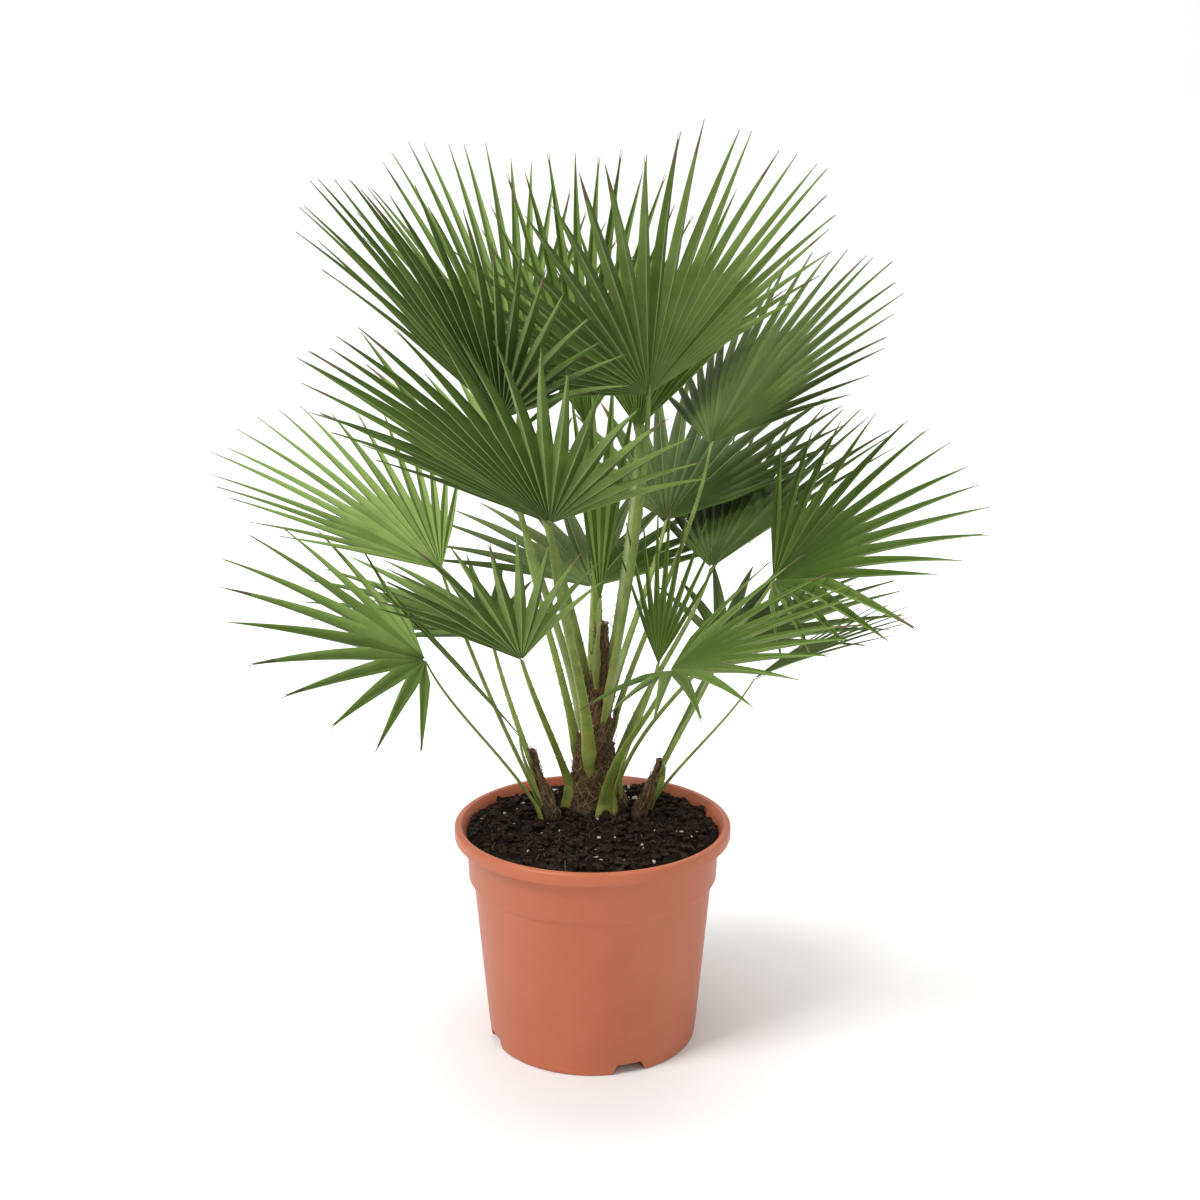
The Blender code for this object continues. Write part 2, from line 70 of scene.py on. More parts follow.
# Gap that neighbouring solids keep, and the search margins of the growth rule
GAP = 0.0003
GUARD = 0.0006
SEAT_GAP = 0.0001
SEAT_STEP = 0.00025
FINE_SEAT_STEP = 0.0001
COARSE_SEAT_STEP = 0.0010
SEAT_SIDES = 24
GUARD_SIDES = 10
BLADE_THICKNESS = 0.0028
FOLD = 0.55
PETIOLE_POINTS = 8
SEED = 7
SOIL_CROWN_HEIGHT = 0.2115
STEM_FOOT = SOIL_CROWN_HEIGHT + GAP

# Camera fitted to the circles of the pot in the photo
CAMERA_PLACE = (0.0, -1.594, 0.8365)
CAMERA_DIP = 14.39
CAMERA_TURN = -0.0044
CAMERA_LENS = 54.0
SENSOR_WIDTH = 36.0


class Tone(Enum):
    """How bright a frond's leaflets are: painted light and shade dealt frond by frond, bright for fronds
    lit by the key lamp at the left, deep and grey for fronds that lie in shade.
    """

    BRIGHT = "bright"
    MID_LIT = "mid_lit"
    DEEP = "deep"
    GREY = "grey"


@dataclass(frozen=True)
class Stem:
    """A stem as stations of its axis: place and radius, from the soil to the tip."""

    name: str
    stations: tuple

    def at(self, height: float) -> tuple[Vector, Vector, float]:
        """Gives the stem at a height.

        Args:
            height: Height above the soil in metres.

        Returns:
            The axis point, the axis direction and the radius there.
        """
        z = STEM_FOOT + height
        for (low, low_radius), (high, high_radius) in zip(self.stations, self.stations[1:]):
            if z <= high[2] or (high, high_radius) == self.stations[-1]:
                share = (z - low[2]) / (high[2] - low[2])
                axis = Vector(low).lerp(Vector(high), share)
                direction = (Vector(high) - Vector(low)).normalized()
                return axis, direction, low_radius + (high_radius - low_radius) * share
        raise ValueError(height)


STEMS = (
    Stem("trunk", (
        ((0.004, 0.048, STEM_FOOT), 0.0300),
        ((0.004, 0.048, STEM_FOOT + 0.008), 0.0260),
        ((0.003, 0.047, 0.235), 0.0225),
        ((0.002, 0.046, 0.262), 0.0185),
        ((0.004, 0.045, 0.290), 0.0160),
        ((0.006, 0.044, 0.325), 0.0120),
        ((0.008, 0.043, 0.365), 0.0080),
        ((0.009, 0.042, 0.395), 0.0050),
    )),
    Stem("left_sucker", (
        ((-0.040, 0.012, STEM_FOOT), 0.0090),
        ((-0.040, 0.012, STEM_FOOT + 0.004), 0.0080),
        ((-0.045, 0.014, 0.232), 0.0065),
        ((-0.052, 0.016, 0.256), 0.0050),
        ((-0.058, 0.018, 0.278), 0.0030),
    )),
    Stem("right_sucker", (
        ((0.046, 0.022, STEM_FOOT), 0.0090),
        ((0.046, 0.022, STEM_FOOT + 0.004), 0.0080),
        ((0.051, 0.022, 0.228), 0.0065),
        ((0.058, 0.022, 0.248), 0.0048),
        ((0.064, 0.022, 0.266), 0.0030),
    )),
)


@dataclass(frozen=True)
class Frond:
    """One frond. Angles are in degrees: turns from +X towards +Y, rises above level."""

    name: str
    stem: str
    height: float
    turn: float
    hub: tuple
    aim: tuple
    roll: float
    reach: float
    spread: float
    leaflets: int
    cup: float = 12
    fall: float = 0.30
    split: float = 0.46
    droop: float = 0.06
    girth: float = 0.0045
    tone: Tone = Tone.MID_LIT

    def axes(self) -> tuple[Vector, Vector, Vector]:
        """Gives the blade's directions: along its aim, to its left, out of its upper face."""
        turn, rise = (radians(angle) for angle in self.aim)
        roll = radians(self.roll)
        aim = Vector((cos(rise) * cos(turn), cos(rise) * sin(turn), sin(rise)))
        level = Vector((-sin(turn), cos(turn), 0.0))
        upright = aim.cross(level)
        side = level * cos(roll) + upright * sin(roll)
        return aim, side, aim.cross(side)


# Each frond's tone is painted light and shade: bright towards the key lamp at the left, deep and grey for
# fronds in shade.
FRONDS = (
    Frond("front_left", "trunk", 0.060, 255, (-0.036, -0.090, 0.518), (228, 36), 6, 0.274, 79, 24,
          tone=Tone.DEEP),
    Frond("left_high", "trunk", 0.100, 205, (-0.079, -0.030, 0.599), (247, 46), -19, 0.290, 55, 22,
          cup=5, fall=0.27, tone=Tone.BRIGHT),
    Frond("front_right_high", "trunk", 0.115, 300, (0.050, 0.000, 0.616), (272, 47), 23, 0.310, 70, 28,
          cup=4, fall=0.50),
    Frond("right_low", "trunk", 0.012, 285, (0.067, -0.100, 0.390), (323, 1), 14, 0.193, 89, 14,
          cup=21, fall=0.16, split=0.34, droop=0.08, girth=0.0045, tone=Tone.BRIGHT),
    Frond("left_low", "left_sucker", 0.012, 205, (-0.151, -0.030, 0.379), (208, 19), -28, 0.216, 77, 12,
          cup=9, fall=0.33, split=0.34, droop=0.08, girth=0.0028, tone=Tone.BRIGHT),
    Frond("right_mid", "trunk", 0.030, 335, (0.166, 0.010, 0.443), (348, 11), 27, 0.229, 88, 18,
          cup=24, fall=0.29, split=0.40, droop=0.08, girth=0.0035),
    Frond("left_mid", "left_sucker", 0.030, 160, (-0.140, 0.030, 0.449), (136, 18), -9, 0.288, 49, 18,
          cup=10, fall=0.50, split=0.38, girth=0.0030, tone=Tone.BRIGHT),
    Frond("front_left_low", "trunk", 0.022, 200, (-0.062, -0.080, 0.394), (263, 27), 11, 0.250, 40, 12,
          cup=15, fall=0.38, split=0.38, girth=0.0032, tone=Tone.DEEP),
    Frond("right_high", "trunk", 0.090, 20, (0.112, 0.090, 0.556), (38, 50), -8, 0.258, 68, 22,
          cup=0, fall=0.37, girth=0.0035, tone=Tone.GREY),
    Frond("right_mid_back", "trunk", 0.045, 10, (0.117, 0.130, 0.427), (63, 28), -17, 0.270, 49, 16,
          cup=4, fall=0.21, girth=0.0035, tone=Tone.GREY),
    Frond("young_left", "left_sucker", 0.040, 190, (-0.068, 0.000, 0.298), (203, 51), 0, 0.213, 9, 4,
          cup=0, fall=0.25, split=0.50, droop=0.0, girth=0.0022, tone=Tone.DEEP),
    Frond("young_centre", "trunk", 0.150, 250, (0.007, 0.026, 0.420), (80, 86), 0, 0.225, 12, 4,
          cup=0, fall=0.20, split=0.50, droop=0.0, girth=0.0035),
    Frond("young_right", "right_sucker", 0.036, 0, (0.066, 0.016, 0.268), (340, 64), 0, 0.130, 8, 3,
          cup=0, fall=0.20, split=0.50, droop=0.0, girth=0.0022),
    Frond("right_inner", "trunk", 0.015, 320, (0.061, 0.010, 0.364), (60, 76), 0, 0.165, 30, 9,
          cup=4, fall=0.25, split=0.34, girth=0.0028, tone=Tone.DEEP),
    Frond("right_low_back", "right_sucker", 0.014, 20, (0.154, 0.040, 0.341), (12, 16), 0, 0.170, 18, 8,
          cup=10, fall=0.25, split=0.34, girth=0.0022, tone=Tone.GREY),
    Frond("left_high_back", "trunk", 0.125, 140, (-0.068, 0.100, 0.597), (114, 46), 14, 0.296, 50, 20,
          cup=15, fall=0.27, tone=Tone.BRIGHT),
    Frond("back_high_left", "trunk", 0.140, 95, (-0.006, 0.088, 0.575), (92, 72), 0, 0.275, 34, 14,
          girth=0.0038),
    Frond("back_high_right", "trunk", 0.110, 60, (0.045, 0.160, 0.560), (66, 56), 0, 0.275, 44, 16),
    Frond("back_left", "trunk", 0.060, 150, (-0.070, 0.170, 0.470), (140, 25), 0, 0.250, 72, 16,
          girth=0.0035),
    Frond("back_right", "trunk", 0.070, 70, (0.075, 0.200, 0.460), (65, 24), 0, 0.250, 70, 16,
          girth=0.0035, tone=Tone.GREY),
    Frond("back_low", "trunk", 0.030, 100, (0.000, 0.200, 0.390), (95, 10), 0, 0.240, 84, 14,
          split=0.38, droop=0.08, girth=0.0032, tone=Tone.GREY),
    Frond("back_low_left", "left_sucker", 0.020, 110, (-0.100, 0.120, 0.360), (150, 8), 0, 0.210, 80, 12,
          split=0.34, droop=0.08, girth=0.0028, tone=Tone.BRIGHT),
    Frond("back_low_right", "right_sucker", 0.020, 70, (0.130, 0.130, 0.345), (42, 8), 0, 0.210, 78, 12,
          split=0.34, droop=0.08, girth=0.0028, tone=Tone.GREY),
)


@dataclass
class Leaflet:
    """One leaflet of a blade: its angle in the fan, its length, and how it leaves the fan."""

    frond: Frond
    angle: float
    length: float
    swing: float = 0.0
    lift: float = 0.0

    def direction(self, angle: float) -> Vector:
        """Gives the fan's direction at an angle from its aim."""
        aim, side, upper = self.frond.axes()
        cup = radians(self.frond.cup)
        return (aim * cos(angle) + side * sin(angle)) * cos(cup) + upper * sin(cup)

    def split_radius(self, angle: float) -> float:
        """Gives how far from the hub the fan is whole, at an angle from its aim."""
        share = angle / radians(self.frond.spread)
        return self.frond.split * self.frond.reach * (1 - 0.42 * share * share)

    def point(self, across: float, along: float, taper: float = 1.5,
              depth: float = FOLD) -> Vector:
        """Gives a point of the leaflet.

        Args:
            across: From -1 to 1 between the leaflet's edges.
            along: 0 at the hub, 1 where the leaflet leaves the fan, 2 at its tip.
            taper: How late the free part narrows.
            depth: Steepness of the leaflet's fold.

        Returns:
            The point in metres.
        """
        half_pitch = radians(self.frond.spread) / self.frond.leaflets
        edge_angle = self.angle + across * half_pitch
        _, _, upper = self.frond.axes()
        hub = Vector(self.frond.hub)
        fold = depth * half_pitch * (abs(across) - 0.5)
        split = self.split_radius(edge_angle)
        if along <= 1:
            radius = split * along
            sag = Vector((0, 0, -self.frond.droop)) * radius * radius / self.frond.reach
            return hub + self.direction(edge_angle) * radius + upper * fold * radius + sag
        beyond = along - 1
        width = 1 - beyond ** taper
        middle_split = self.split_radius(self.angle)
        radius = middle_split + (self.length - middle_split) * beyond
        root = self.direction(self.angle) * middle_split
        edge = self.direction(edge_angle) * split + upper * fold * split
        run = radius - middle_split
        spine = self.direction(self.angle) * run
        tangent = self.direction(self.angle + 0.5 * pi).normalized()
        bend = (tangent * tan(self.swing) + upper * tan(self.lift)) * run
        sag = Vector((0, 0, -self.frond.droop)) * radius * radius / self.frond.reach
        return hub + root + (edge - root) * width + spine + bend + sag


class Growth:
    """The growth rule of the solids: petioles first, then blades, each clear of the rest."""

    @staticmethod
    def strip_faces(rows: int, ring: int, closed: bool) -> list[tuple[int, ...]]:
        """Gives quads between successive rows of points, numbered row by row."""
        spans = ring if closed else ring - 1
        faces = []
        for row in range(rows - 1):
            for place in range(spans):
                after = (place + 1) % ring
                low, high = row * ring, (row + 1) * ring
                faces.append((low + place, low + after, high + after, high + place))
        return faces

    @classmethod
    def leaflet_guard(cls, leaflet: Leaflet, first_row: float = 0.3) -> BVHTree:
        """Gives the search tree of the space that a leaflet takes, a little thickened."""
        upper = leaflet.frond.axes()[2] * (0.6 * BLADE_THICKNESS + GUARD)
        points = []
        for along in (first_row, 1.0, 1.35, 1.7, 2.0):
            above = [leaflet.point(across, along) + upper for across in (-1.08, 0, 1.08)]
            below = [leaflet.point(across, along) - upper for across in (1.08, 0, -1.08)]
            points += above + below
        return BVHTree.FromPolygons(points, cls.strip_faces(5, 6, True))

    @classmethod
    def tube_guard(cls, path: Sequence[Vector], radii: Sequence[float],
                   sides: int = GUARD_SIDES, spare: float = GUARD) -> BVHTree:
        """Gives the search tree of a tube through the path's points, spare thicker."""
        points = []
        for place, centre in enumerate(path):
            before, after = path[max(place - 1, 0)], path[min(place + 1, len(path) - 1)]
            direction = (after - before).normalized()
            across = direction.orthogonal().normalized()
            other = direction.cross(across)
            for side in range(sides):
                turn = 2 * pi * side / sides
                reach = radii[place] / cos(pi / sides) + spare
                points.append(centre + (across * cos(turn) + other * sin(turn)) * reach)
        faces = cls.strip_faces(len(path), sides, True)
        faces.append(tuple(range(sides)))
        faces.append(tuple(range(len(points) - sides, len(points))))
        return BVHTree.FromPolygons(points, faces)

    @classmethod
    def stem_guard(cls, stem: Stem) -> BVHTree:
        """Gives the search tree of a stem, with the least gap that its petioles keep."""
        path = [Vector(place) for place, _ in stem.stations]
        return cls.tube_guard(path, [radius for _, radius in stem.stations], SEAT_SIDES, SEAT_GAP)

    @staticmethod
    def touches(tree: BVHTree, others: Iterable[BVHTree]) -> bool:
        """Tells whether the search tree meets any of the others."""
        return any(tree.overlap(other) for other in others)

    @staticmethod
    def petiole_radii(frond: Frond) -> list[float]:
        """Gives the radii along a petiole: broad at the sheath, slim at the hub."""
        shares = [place / (PETIOLE_POINTS - 1) for place in range(PETIOLE_POINTS)]
        return [frond.girth * (1.25 - 0.45 * share - 0.25 * share ** 3) for share in shares]

    @staticmethod
    def petiole_path(frond: Frond, stem: Stem, height: float, turn: float, stem_gap: float,
                     hub_gap: float, points: int = PETIOLE_POINTS) -> list[Vector]:
        """Gives a petiole that leaves its stem upright and arches over to the hub.

        Args:
            frond: The frond that it carries.
            stem: The stem that it grows on.
            height: Height of its foot above the soil.
            turn: Side of the stem that it leaves, in degrees.
            stem_gap: Distance of its foot from the stem's axis.
            hub_gap: Distance of its end from the hub.
            points: Number of points along it.

        Returns:
            The points of its centre line.
        """
        axis, stem_direction, _ = stem.at(height)
        outward = Vector((cos(radians(turn)), sin(radians(turn)), 0.0))
        foot = axis + outward * stem_gap
        hub = Vector(frond.hub)
        _, _, upper = frond.axes()
        chord = (hub - foot).normalized()
        lean = 0.65 if frond.spread > 90 else 0.25
        end = hub - (chord + upper * lean).normalized() * hub_gap
        arrival = (chord + upper * lean).normalized()
        length = (end - foot).length
        start = (stem_direction * 0.8 + outward * 0.2 + chord * 0.4).normalized()
        first, second = foot + start * 0.35 * length, end - arrival * 0.30 * length
        path = []
        for place in range(points):
            share = place / (points - 1)
            rest = 1 - share
            path.append(foot * rest ** 3 + first * 3 * rest ** 2 * share
                        + second * 3 * rest * share ** 2 + end * share ** 3)
        return path

    @staticmethod
    def resting_leaflets(frond: Frond) -> list[Leaflet]:
        """Gives the leaflets of a frond as they stand with nothing in their way."""
        dice = random.Random(f"{SEED} {frond.name}")
        spread = radians(frond.spread)
        leaflets = []
        for place in range(frond.leaflets):
            angle = -spread + 2 * spread * (place + 0.5) / frond.leaflets
            shorter = 1 - frond.fall * (angle / spread) ** 2
            length = frond.reach * shorter * dice.uniform(0.95, 1.02)
            leaflets.append(Leaflet(frond, angle, length, lift=radians(dice.uniform(-3, 3))))
        return leaflets

    @classmethod
    def seated(cls, frond: Frond, stem: Stem, guards: list[BVHTree]) -> tuple:
        """Seats a petiole on its stem and under its hub, clear of the other petioles.

        Args:
            frond: The frond that the petiole carries.
            stem: The stem that it grows on.
            guards: Search trees of what it keeps clear of.

        Returns:
            The arguments of petiole_path after the stem, and the path itself.
        """
        stem_tree = cls.stem_guard(stem)
        radii = cls.petiole_radii(frond)
        blade = [cls.leaflet_guard(leaflet, 0.02) for leaflet in cls.resting_leaflets(frond)]
        for raised, turned in ((raised, turned) for raised in (0, 0.010, -0.008, 0.020, 0.030)
                               for turned in (0, 14, -14, 28, -28, 42, -42)):
            height, turn = max(frond.height + raised, 0.006), frond.turn + turned
            hub_gap = GAP
            stem_gap = stem.at(height)[2] + radii[0] + 0.006
            path = cls.petiole_path(frond, stem, height, turn, stem_gap, hub_gap)
            while cls.touches(cls.tube_guard(path, radii, spare=GAP), blade):
                hub_gap += SEAT_STEP
                if hub_gap > 0.02:
                    raise ValueError(f"{frond.name}: no seat under the hub")
                path = cls.petiole_path(frond, stem, height, turn, stem_gap, hub_gap)
            for step in (COARSE_SEAT_STEP, FINE_SEAT_STEP):
                while stem_gap > step:
                    closer = cls.petiole_path(frond, stem, height, turn, stem_gap - step, hub_gap)
                    if cls.touches(cls.tube_guard(closer, radii, SEAT_SIDES, 0), [stem_tree]):
                        break
                    path, stem_gap = closer, stem_gap - step
            if not cls.touches(cls.tube_guard(path, radii), guards):
                return (height, turn, stem_gap, hub_gap), path
        raise ValueError(f"{frond.name}: no clear place for its petiole")

    @classmethod
    def cleared(cls, leaflet: Leaflet, obstacles: list[BVHTree]) -> Leaflet | None:
        """Gives the leaflet moved or shortened as little as frees it, or None."""
        pitch = 2 * leaflet.frond.spread / leaflet.frond.leaflets
        swings = (0, 0.3 * pitch, -0.3 * pitch)
        lifts = (0, 5, -5, 10, -10, 16, -16, 22, -22, 30, -30)
        for share in (1.0, 0.88, 0.76, 0.64, 0.52, 0.42):
            for lift, swing in ((lift, swing) for lift in lifts for swing in swings):
                length = max(leaflet.length * share, 1.12 * leaflet.split_radius(leaflet.angle))
                tried = Leaflet(leaflet.frond, leaflet.angle, length,
                                radians(swing), leaflet.lift + radians(lift))
                if not cls.touches(cls.leaflet_guard(tried), obstacles):
                    return tried
        return None

    @classmethod
    def free_run(cls, leaflets: Sequence[Leaflet], obstacles: list[BVHTree]) -> list[Leaflet]:
        """Gives the leaflets from the first one on, up to one that nothing frees."""
        run = []
        for leaflet in leaflets:
            free = cls.cleared(leaflet, obstacles)
            if free is None:
                break
            run.append(free)
        return run

    @classmethod
    def grown(cls) -> tuple[dict[str, list[Vector]], dict[str, list[Leaflet]]]:
        """Grows every frond in order.

        Returns:
            The fine centre line of each petiole, and the leaflets of each blade.
        """
        by_name = {stem.name: stem for stem in STEMS}
        stem_trees = [cls.stem_guard(stem) for stem in STEMS]
        petioles, guards = {}, []
        for frond in FRONDS:
            stem = by_name[frond.stem]
            others = [tree for tree, each in zip(stem_trees, STEMS) if each is not stem]
            seat, path = cls.seated(frond, stem, guards + others)
            guards.append(cls.tube_guard(path, cls.petiole_radii(frond)))
            petioles[frond.name] = cls.petiole_path(frond, stem, *seat, points=Petiole.POINTS)
        obstacles = stem_trees + guards
        blades = {}
        for frond in FRONDS:
            resting = cls.resting_leaflets(frond)
            middle = len(resting) // 2
            leaflets = cls.free_run(resting[:middle][::-1], obstacles)[::-1]
            leaflets += cls.free_run(resting[middle:], obstacles)
            obstacles += [cls.leaflet_guard(leaflet, 0.1) for leaflet in leaflets]
            blades[frond.name] = leaflets
        return petioles, blades


@dataclass
class Draft:
    """Points, faces, finishes and surface marks of one mesh, gathered bit by bit."""

    points: list[Vector] = field(default_factory=list)
    faces: list[tuple[int, ...]] = field(default_factory=list)
    slots: list[int] = field(default_factory=list)
    marks: list[tuple[float, float]] = field(default_factory=list)

    def add_grid(self, rows: Sequence[Sequence[Vector]], slot_of: Callable[[int, int], int | None],
                 marks: Sequence[Sequence[tuple[float, float]]] | None = None,
                 closed: bool = False) -> int:
        """Adds quads between successive rows of points.

        Args:
            rows: The points, row by row.
            slot_of: Gives the finish of a face by its row and column, or None for a hole.
            marks: Surface coordinates of the points.
            closed: Whether each row is a ring.

        Returns:
            The number of the first point.
        """
        base, ring = len(self.points), len(rows[0])
        for number, row in enumerate(rows):
            self.points.extend(row)
            self.marks.extend(marks[number] if marks else [(0.0, 0.0)] * ring)
        for row in range(len(rows) - 1):
            for place in range(ring if closed else ring - 1):
                slot = slot_of(row, place)
                if slot is None:
                    continue
                after = (place + 1) % ring
                low, high = base + row * ring, base + (row + 1) * ring
                self.faces.append((low + place, high + place, high + after, low + after))
                self.slots.append(slot)
        return base

    def add_tube(self, path: Sequence[Vector], sizes: Sequence[tuple[float, float]],
                 ups: Sequence[Vector], sides: int, slot_of: Callable[[int], int],
                 flat_top: float = 1.0) -> None:
        """Adds a closed tube with an oval section.

        Args:
            path: Points of its centre line.
            sizes: Half width and half thickness at each point.
            ups: Direction of the section's upper side at each point.
            sides: Points round the section.
            slot_of: Gives the finish of a ring of faces by its row.
            flat_top: How far the upper side stands out, from 0 flat to 1 oval.
        """
        rows, marks = [], []
        run = 0.0
        for place, centre in enumerate(path):
            before, after = path[max(place - 1, 0)], path[min(place + 1, len(path) - 1)]
            run += (centre - before).length
            tangent = (after - before).normalized()
            side = tangent.cross(ups[place]).normalized()
            up = side.cross(tangent)
            width, thickness = sizes[place]
            ring = []
            for number in range(sides):
                turn = 2 * pi * number / sides
                rise = sin(turn) * (flat_top if sin(turn) > 0 else 1.0)
                ring.append(centre + side * cos(turn) * width + up * rise * thickness)
            rows.append(ring)
            marks.append([(number * width / sides, run) for number in range(sides)])
        base = self.add_grid(rows, lambda row, _: slot_of(row), marks, closed=True)
        last = base + (len(rows) - 1) * sides
        self.faces.append(tuple(range(base, base + sides)))
        self.slots.append(slot_of(0))
        self.faces.append(tuple(range(last + sides - 1, last - 1, -1)))
        self.slots.append(slot_of(len(rows) - 2))

    def add_strand(self, path: Sequence[Vector], radius: float, slot: int) -> None:
        """Adds a thin three-sided thread along a path."""
        direction = (path[-1] - path[0]).normalized()
        up = direction.orthogonal().normalized()
        sizes = [(radius, radius)] * (len(path) - 1) + [(0.5 * radius, 0.5 * radius)]
        self.add_tube(path, sizes, [up] * len(path), 3, lambda _: slot)

    def add_lump(self, centre: Vector, size: Vector, dice: random.Random, slot: int) -> None:
        """Adds a small irregular lump with twenty faces."""
        shape = bmesh.new()
        bmesh.ops.create_icosphere(shape, subdivisions=1, radius=1.0)
        spin = Vector((dice.uniform(-pi, pi), dice.uniform(-pi, pi), dice.uniform(-pi, pi)))
        turned = spin.normalized()
        base = len(self.points)
        for corner in shape.verts:
            rough = corner.co * dice.uniform(0.75, 1.15)
            rough += turned * 0.3 * rough.dot(turned)
            self.points.append(centre + Vector([a * b for a, b in zip(rough, size)]))
            self.marks.append((0.0, 0.0))
        for face in shape.faces:
            self.faces.append(tuple(base + corner.index for corner in face.verts))
            self.slots.append(slot)
        shape.free()

    def piece(self, name: str, materials: Sequence[bpy.types.Material], weld: float = 0.0,
              sharp: float = 60.0) -> bpy.types.Object:
        """Makes the mesh object.

        Args:
            name: Name of the piece.
            materials: Materials in the order of the slots.
            weld: Distance within which points are merged, if any.
            sharp: Edges bent by more than this many degrees stay crisp.

        Returns:
            The object, linked to the scene.
        """
        mesh = bpy.data.meshes.new(name)
        mesh.from_pydata(self.points, [], self.faces)
        for material in materials:
            mesh.materials.append(material)
        mesh.polygons.foreach_set("material_index", self.slots)
        layer = mesh.uv_layers.new(name="surface")
        corners = [0] * len(mesh.loops)
        mesh.loops.foreach_get("vertex_index", corners)
        layer.data.foreach_set("uv", [value for corner in corners for value in self.marks[corner]])
        if weld:
            shape = bmesh.new()
            shape.from_mesh(mesh)
            bmesh.ops.remove_doubles(shape, verts=shape.verts, dist=weld)
            bmesh.ops.dissolve_degenerate(shape, edges=shape.edges, dist=0.2 * weld)
            shape.to_mesh(mesh)
            shape.free()
        mesh.shade_smooth()
        mesh.set_sharp_from_angle(angle=radians(sharp))
        made = bpy.data.objects.new(name, mesh)
        bpy.context.scene.collection.objects.link(made)
        return made


def placed(piece: bpy.types.Object, slot: str, *nodes: str) -> bpy.types.Object:
    """Puts a piece on the plant: it rides on the plant's body and may replace solids."""
    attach(piece, BODY)
    if nodes:
        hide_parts(*nodes)
    LOG.info("%s: %d faces", piece.name, len(piece.data.polygons))
    return piece


class ShaderGroups:
    """Shader effects that several finishes share, each built once as a node group."""

    def __init__(self) -> None:
        """Builds the groups."""
        self.two_tone = self._two_tone()
        self.veins = self._veins()
        self.grit = self._grit()

    @staticmethod
    def _group(name: str, inputs: Sequence[tuple[str, str, object]],
               outputs: Sequence[tuple[str, str]]) -> tuple:
        """Makes an empty group with named sockets.

        Args:
            name: Name of the group.
            inputs: Name, socket type and default of each input.
            outputs: Name and socket type of each output.

        Returns:
            The group, its input node and its output node.
        """
        tree = bpy.data.node_groups.new(name, "ShaderNodeTree")
        for label, kind, default in inputs:
            socket = tree.interface.new_socket(name=label, in_out="INPUT", socket_type=kind)
            if default is not None:
                socket.default_value = default
        for label, kind in outputs:
            tree.interface.new_socket(name=label, in_out="OUTPUT", socket_type=kind)
        return tree, tree.nodes.new("NodeGroupInput"), tree.nodes.new("NodeGroupOutput")

    def _two_tone(self) -> bpy.types.NodeTree:
        """Builds patches of a second colour over a first, by soft noise."""
        tree, given, result = self._group(
            "two_tone",
            (("Place", "NodeSocketVector", None), ("Scale", "NodeSocketFloat", 40.0),
             ("Low", "NodeSocketFloat", 0.4), ("High", "NodeSocketFloat", 0.65),
             ("First", "NodeSocketColor", (0.5, 0.5, 0.5, 1)),
             ("Second", "NodeSocketColor", (0.3, 0.3, 0.3, 1))),
            (("Colour", "NodeSocketColor"), ("Mask", "NodeSocketFloat")))
        cloud = tree.nodes.new("ShaderNodeTexNoise")
        cloud.inputs["Detail"].default_value = 5.0
        cloud.inputs["Roughness"].default_value = 0.6
        span = tree.nodes.new("ShaderNodeMapRange")
        blend = tree.nodes.new("ShaderNodeMix")
        blend.data_type = "RGBA"
        link = tree.links.new
        link(given.outputs["Place"], cloud.inputs["Vector"])
        link(given.outputs["Scale"], cloud.inputs["Scale"])
        link(cloud.outputs["Fac"], span.inputs["Value"])
        link(given.outputs["Low"], span.inputs["From Min"])
        link(given.outputs["High"], span.inputs["From Max"])
        link(span.outputs["Result"], blend.inputs["Factor"])
        link(given.outputs["First"], blend.inputs["A"])
        link(given.outputs["Second"], blend.inputs["B"])
        link(blend.outputs["Result"], result.inputs["Colour"])
        link(span.outputs["Result"], result.inputs["Mask"])
        return tree

    def _veins(self) -> bpy.types.NodeTree:
        """Builds fine parallel veins along a leaflet or a stalk."""
        tree, given, result = self._group(
            "veins",
            (("Place", "NodeSocketVector", None), ("Scale", "NodeSocketFloat", 120.0),
             ("Wobble", "NodeSocketFloat", 0.6)),
            (("Height", "NodeSocketFloat"),))
        bands = tree.nodes.new("ShaderNodeTexWave")
        bands.bands_direction = "X"
        bands.inputs["Detail"].default_value = 2.0
        link = tree.links.new
        link(given.outputs["Place"], bands.inputs["Vector"])
        link(given.outputs["Scale"], bands.inputs["Scale"])
        link(given.outputs["Wobble"], bands.inputs["Distortion"])
        link(bands.outputs["Fac"], result.inputs["Height"])
        return tree

    def _grit(self) -> bpy.types.NodeTree:
        """Builds a fine grain for plastic, peat and bark."""
        tree, given, result = self._group(
            "grit",
            (("Place", "NodeSocketVector", None), ("Scale", "NodeSocketFloat", 900.0)),
            (("Height", "NodeSocketFloat"),))
        grain = tree.nodes.new("ShaderNodeTexNoise")
        grain.inputs["Detail"].default_value = 3.0
        link = tree.links.new
        link(given.outputs["Place"], grain.inputs["Vector"])
        link(given.outputs["Scale"], grain.inputs["Scale"])
        link(grain.outputs["Fac"], result.inputs["Height"])
        return tree


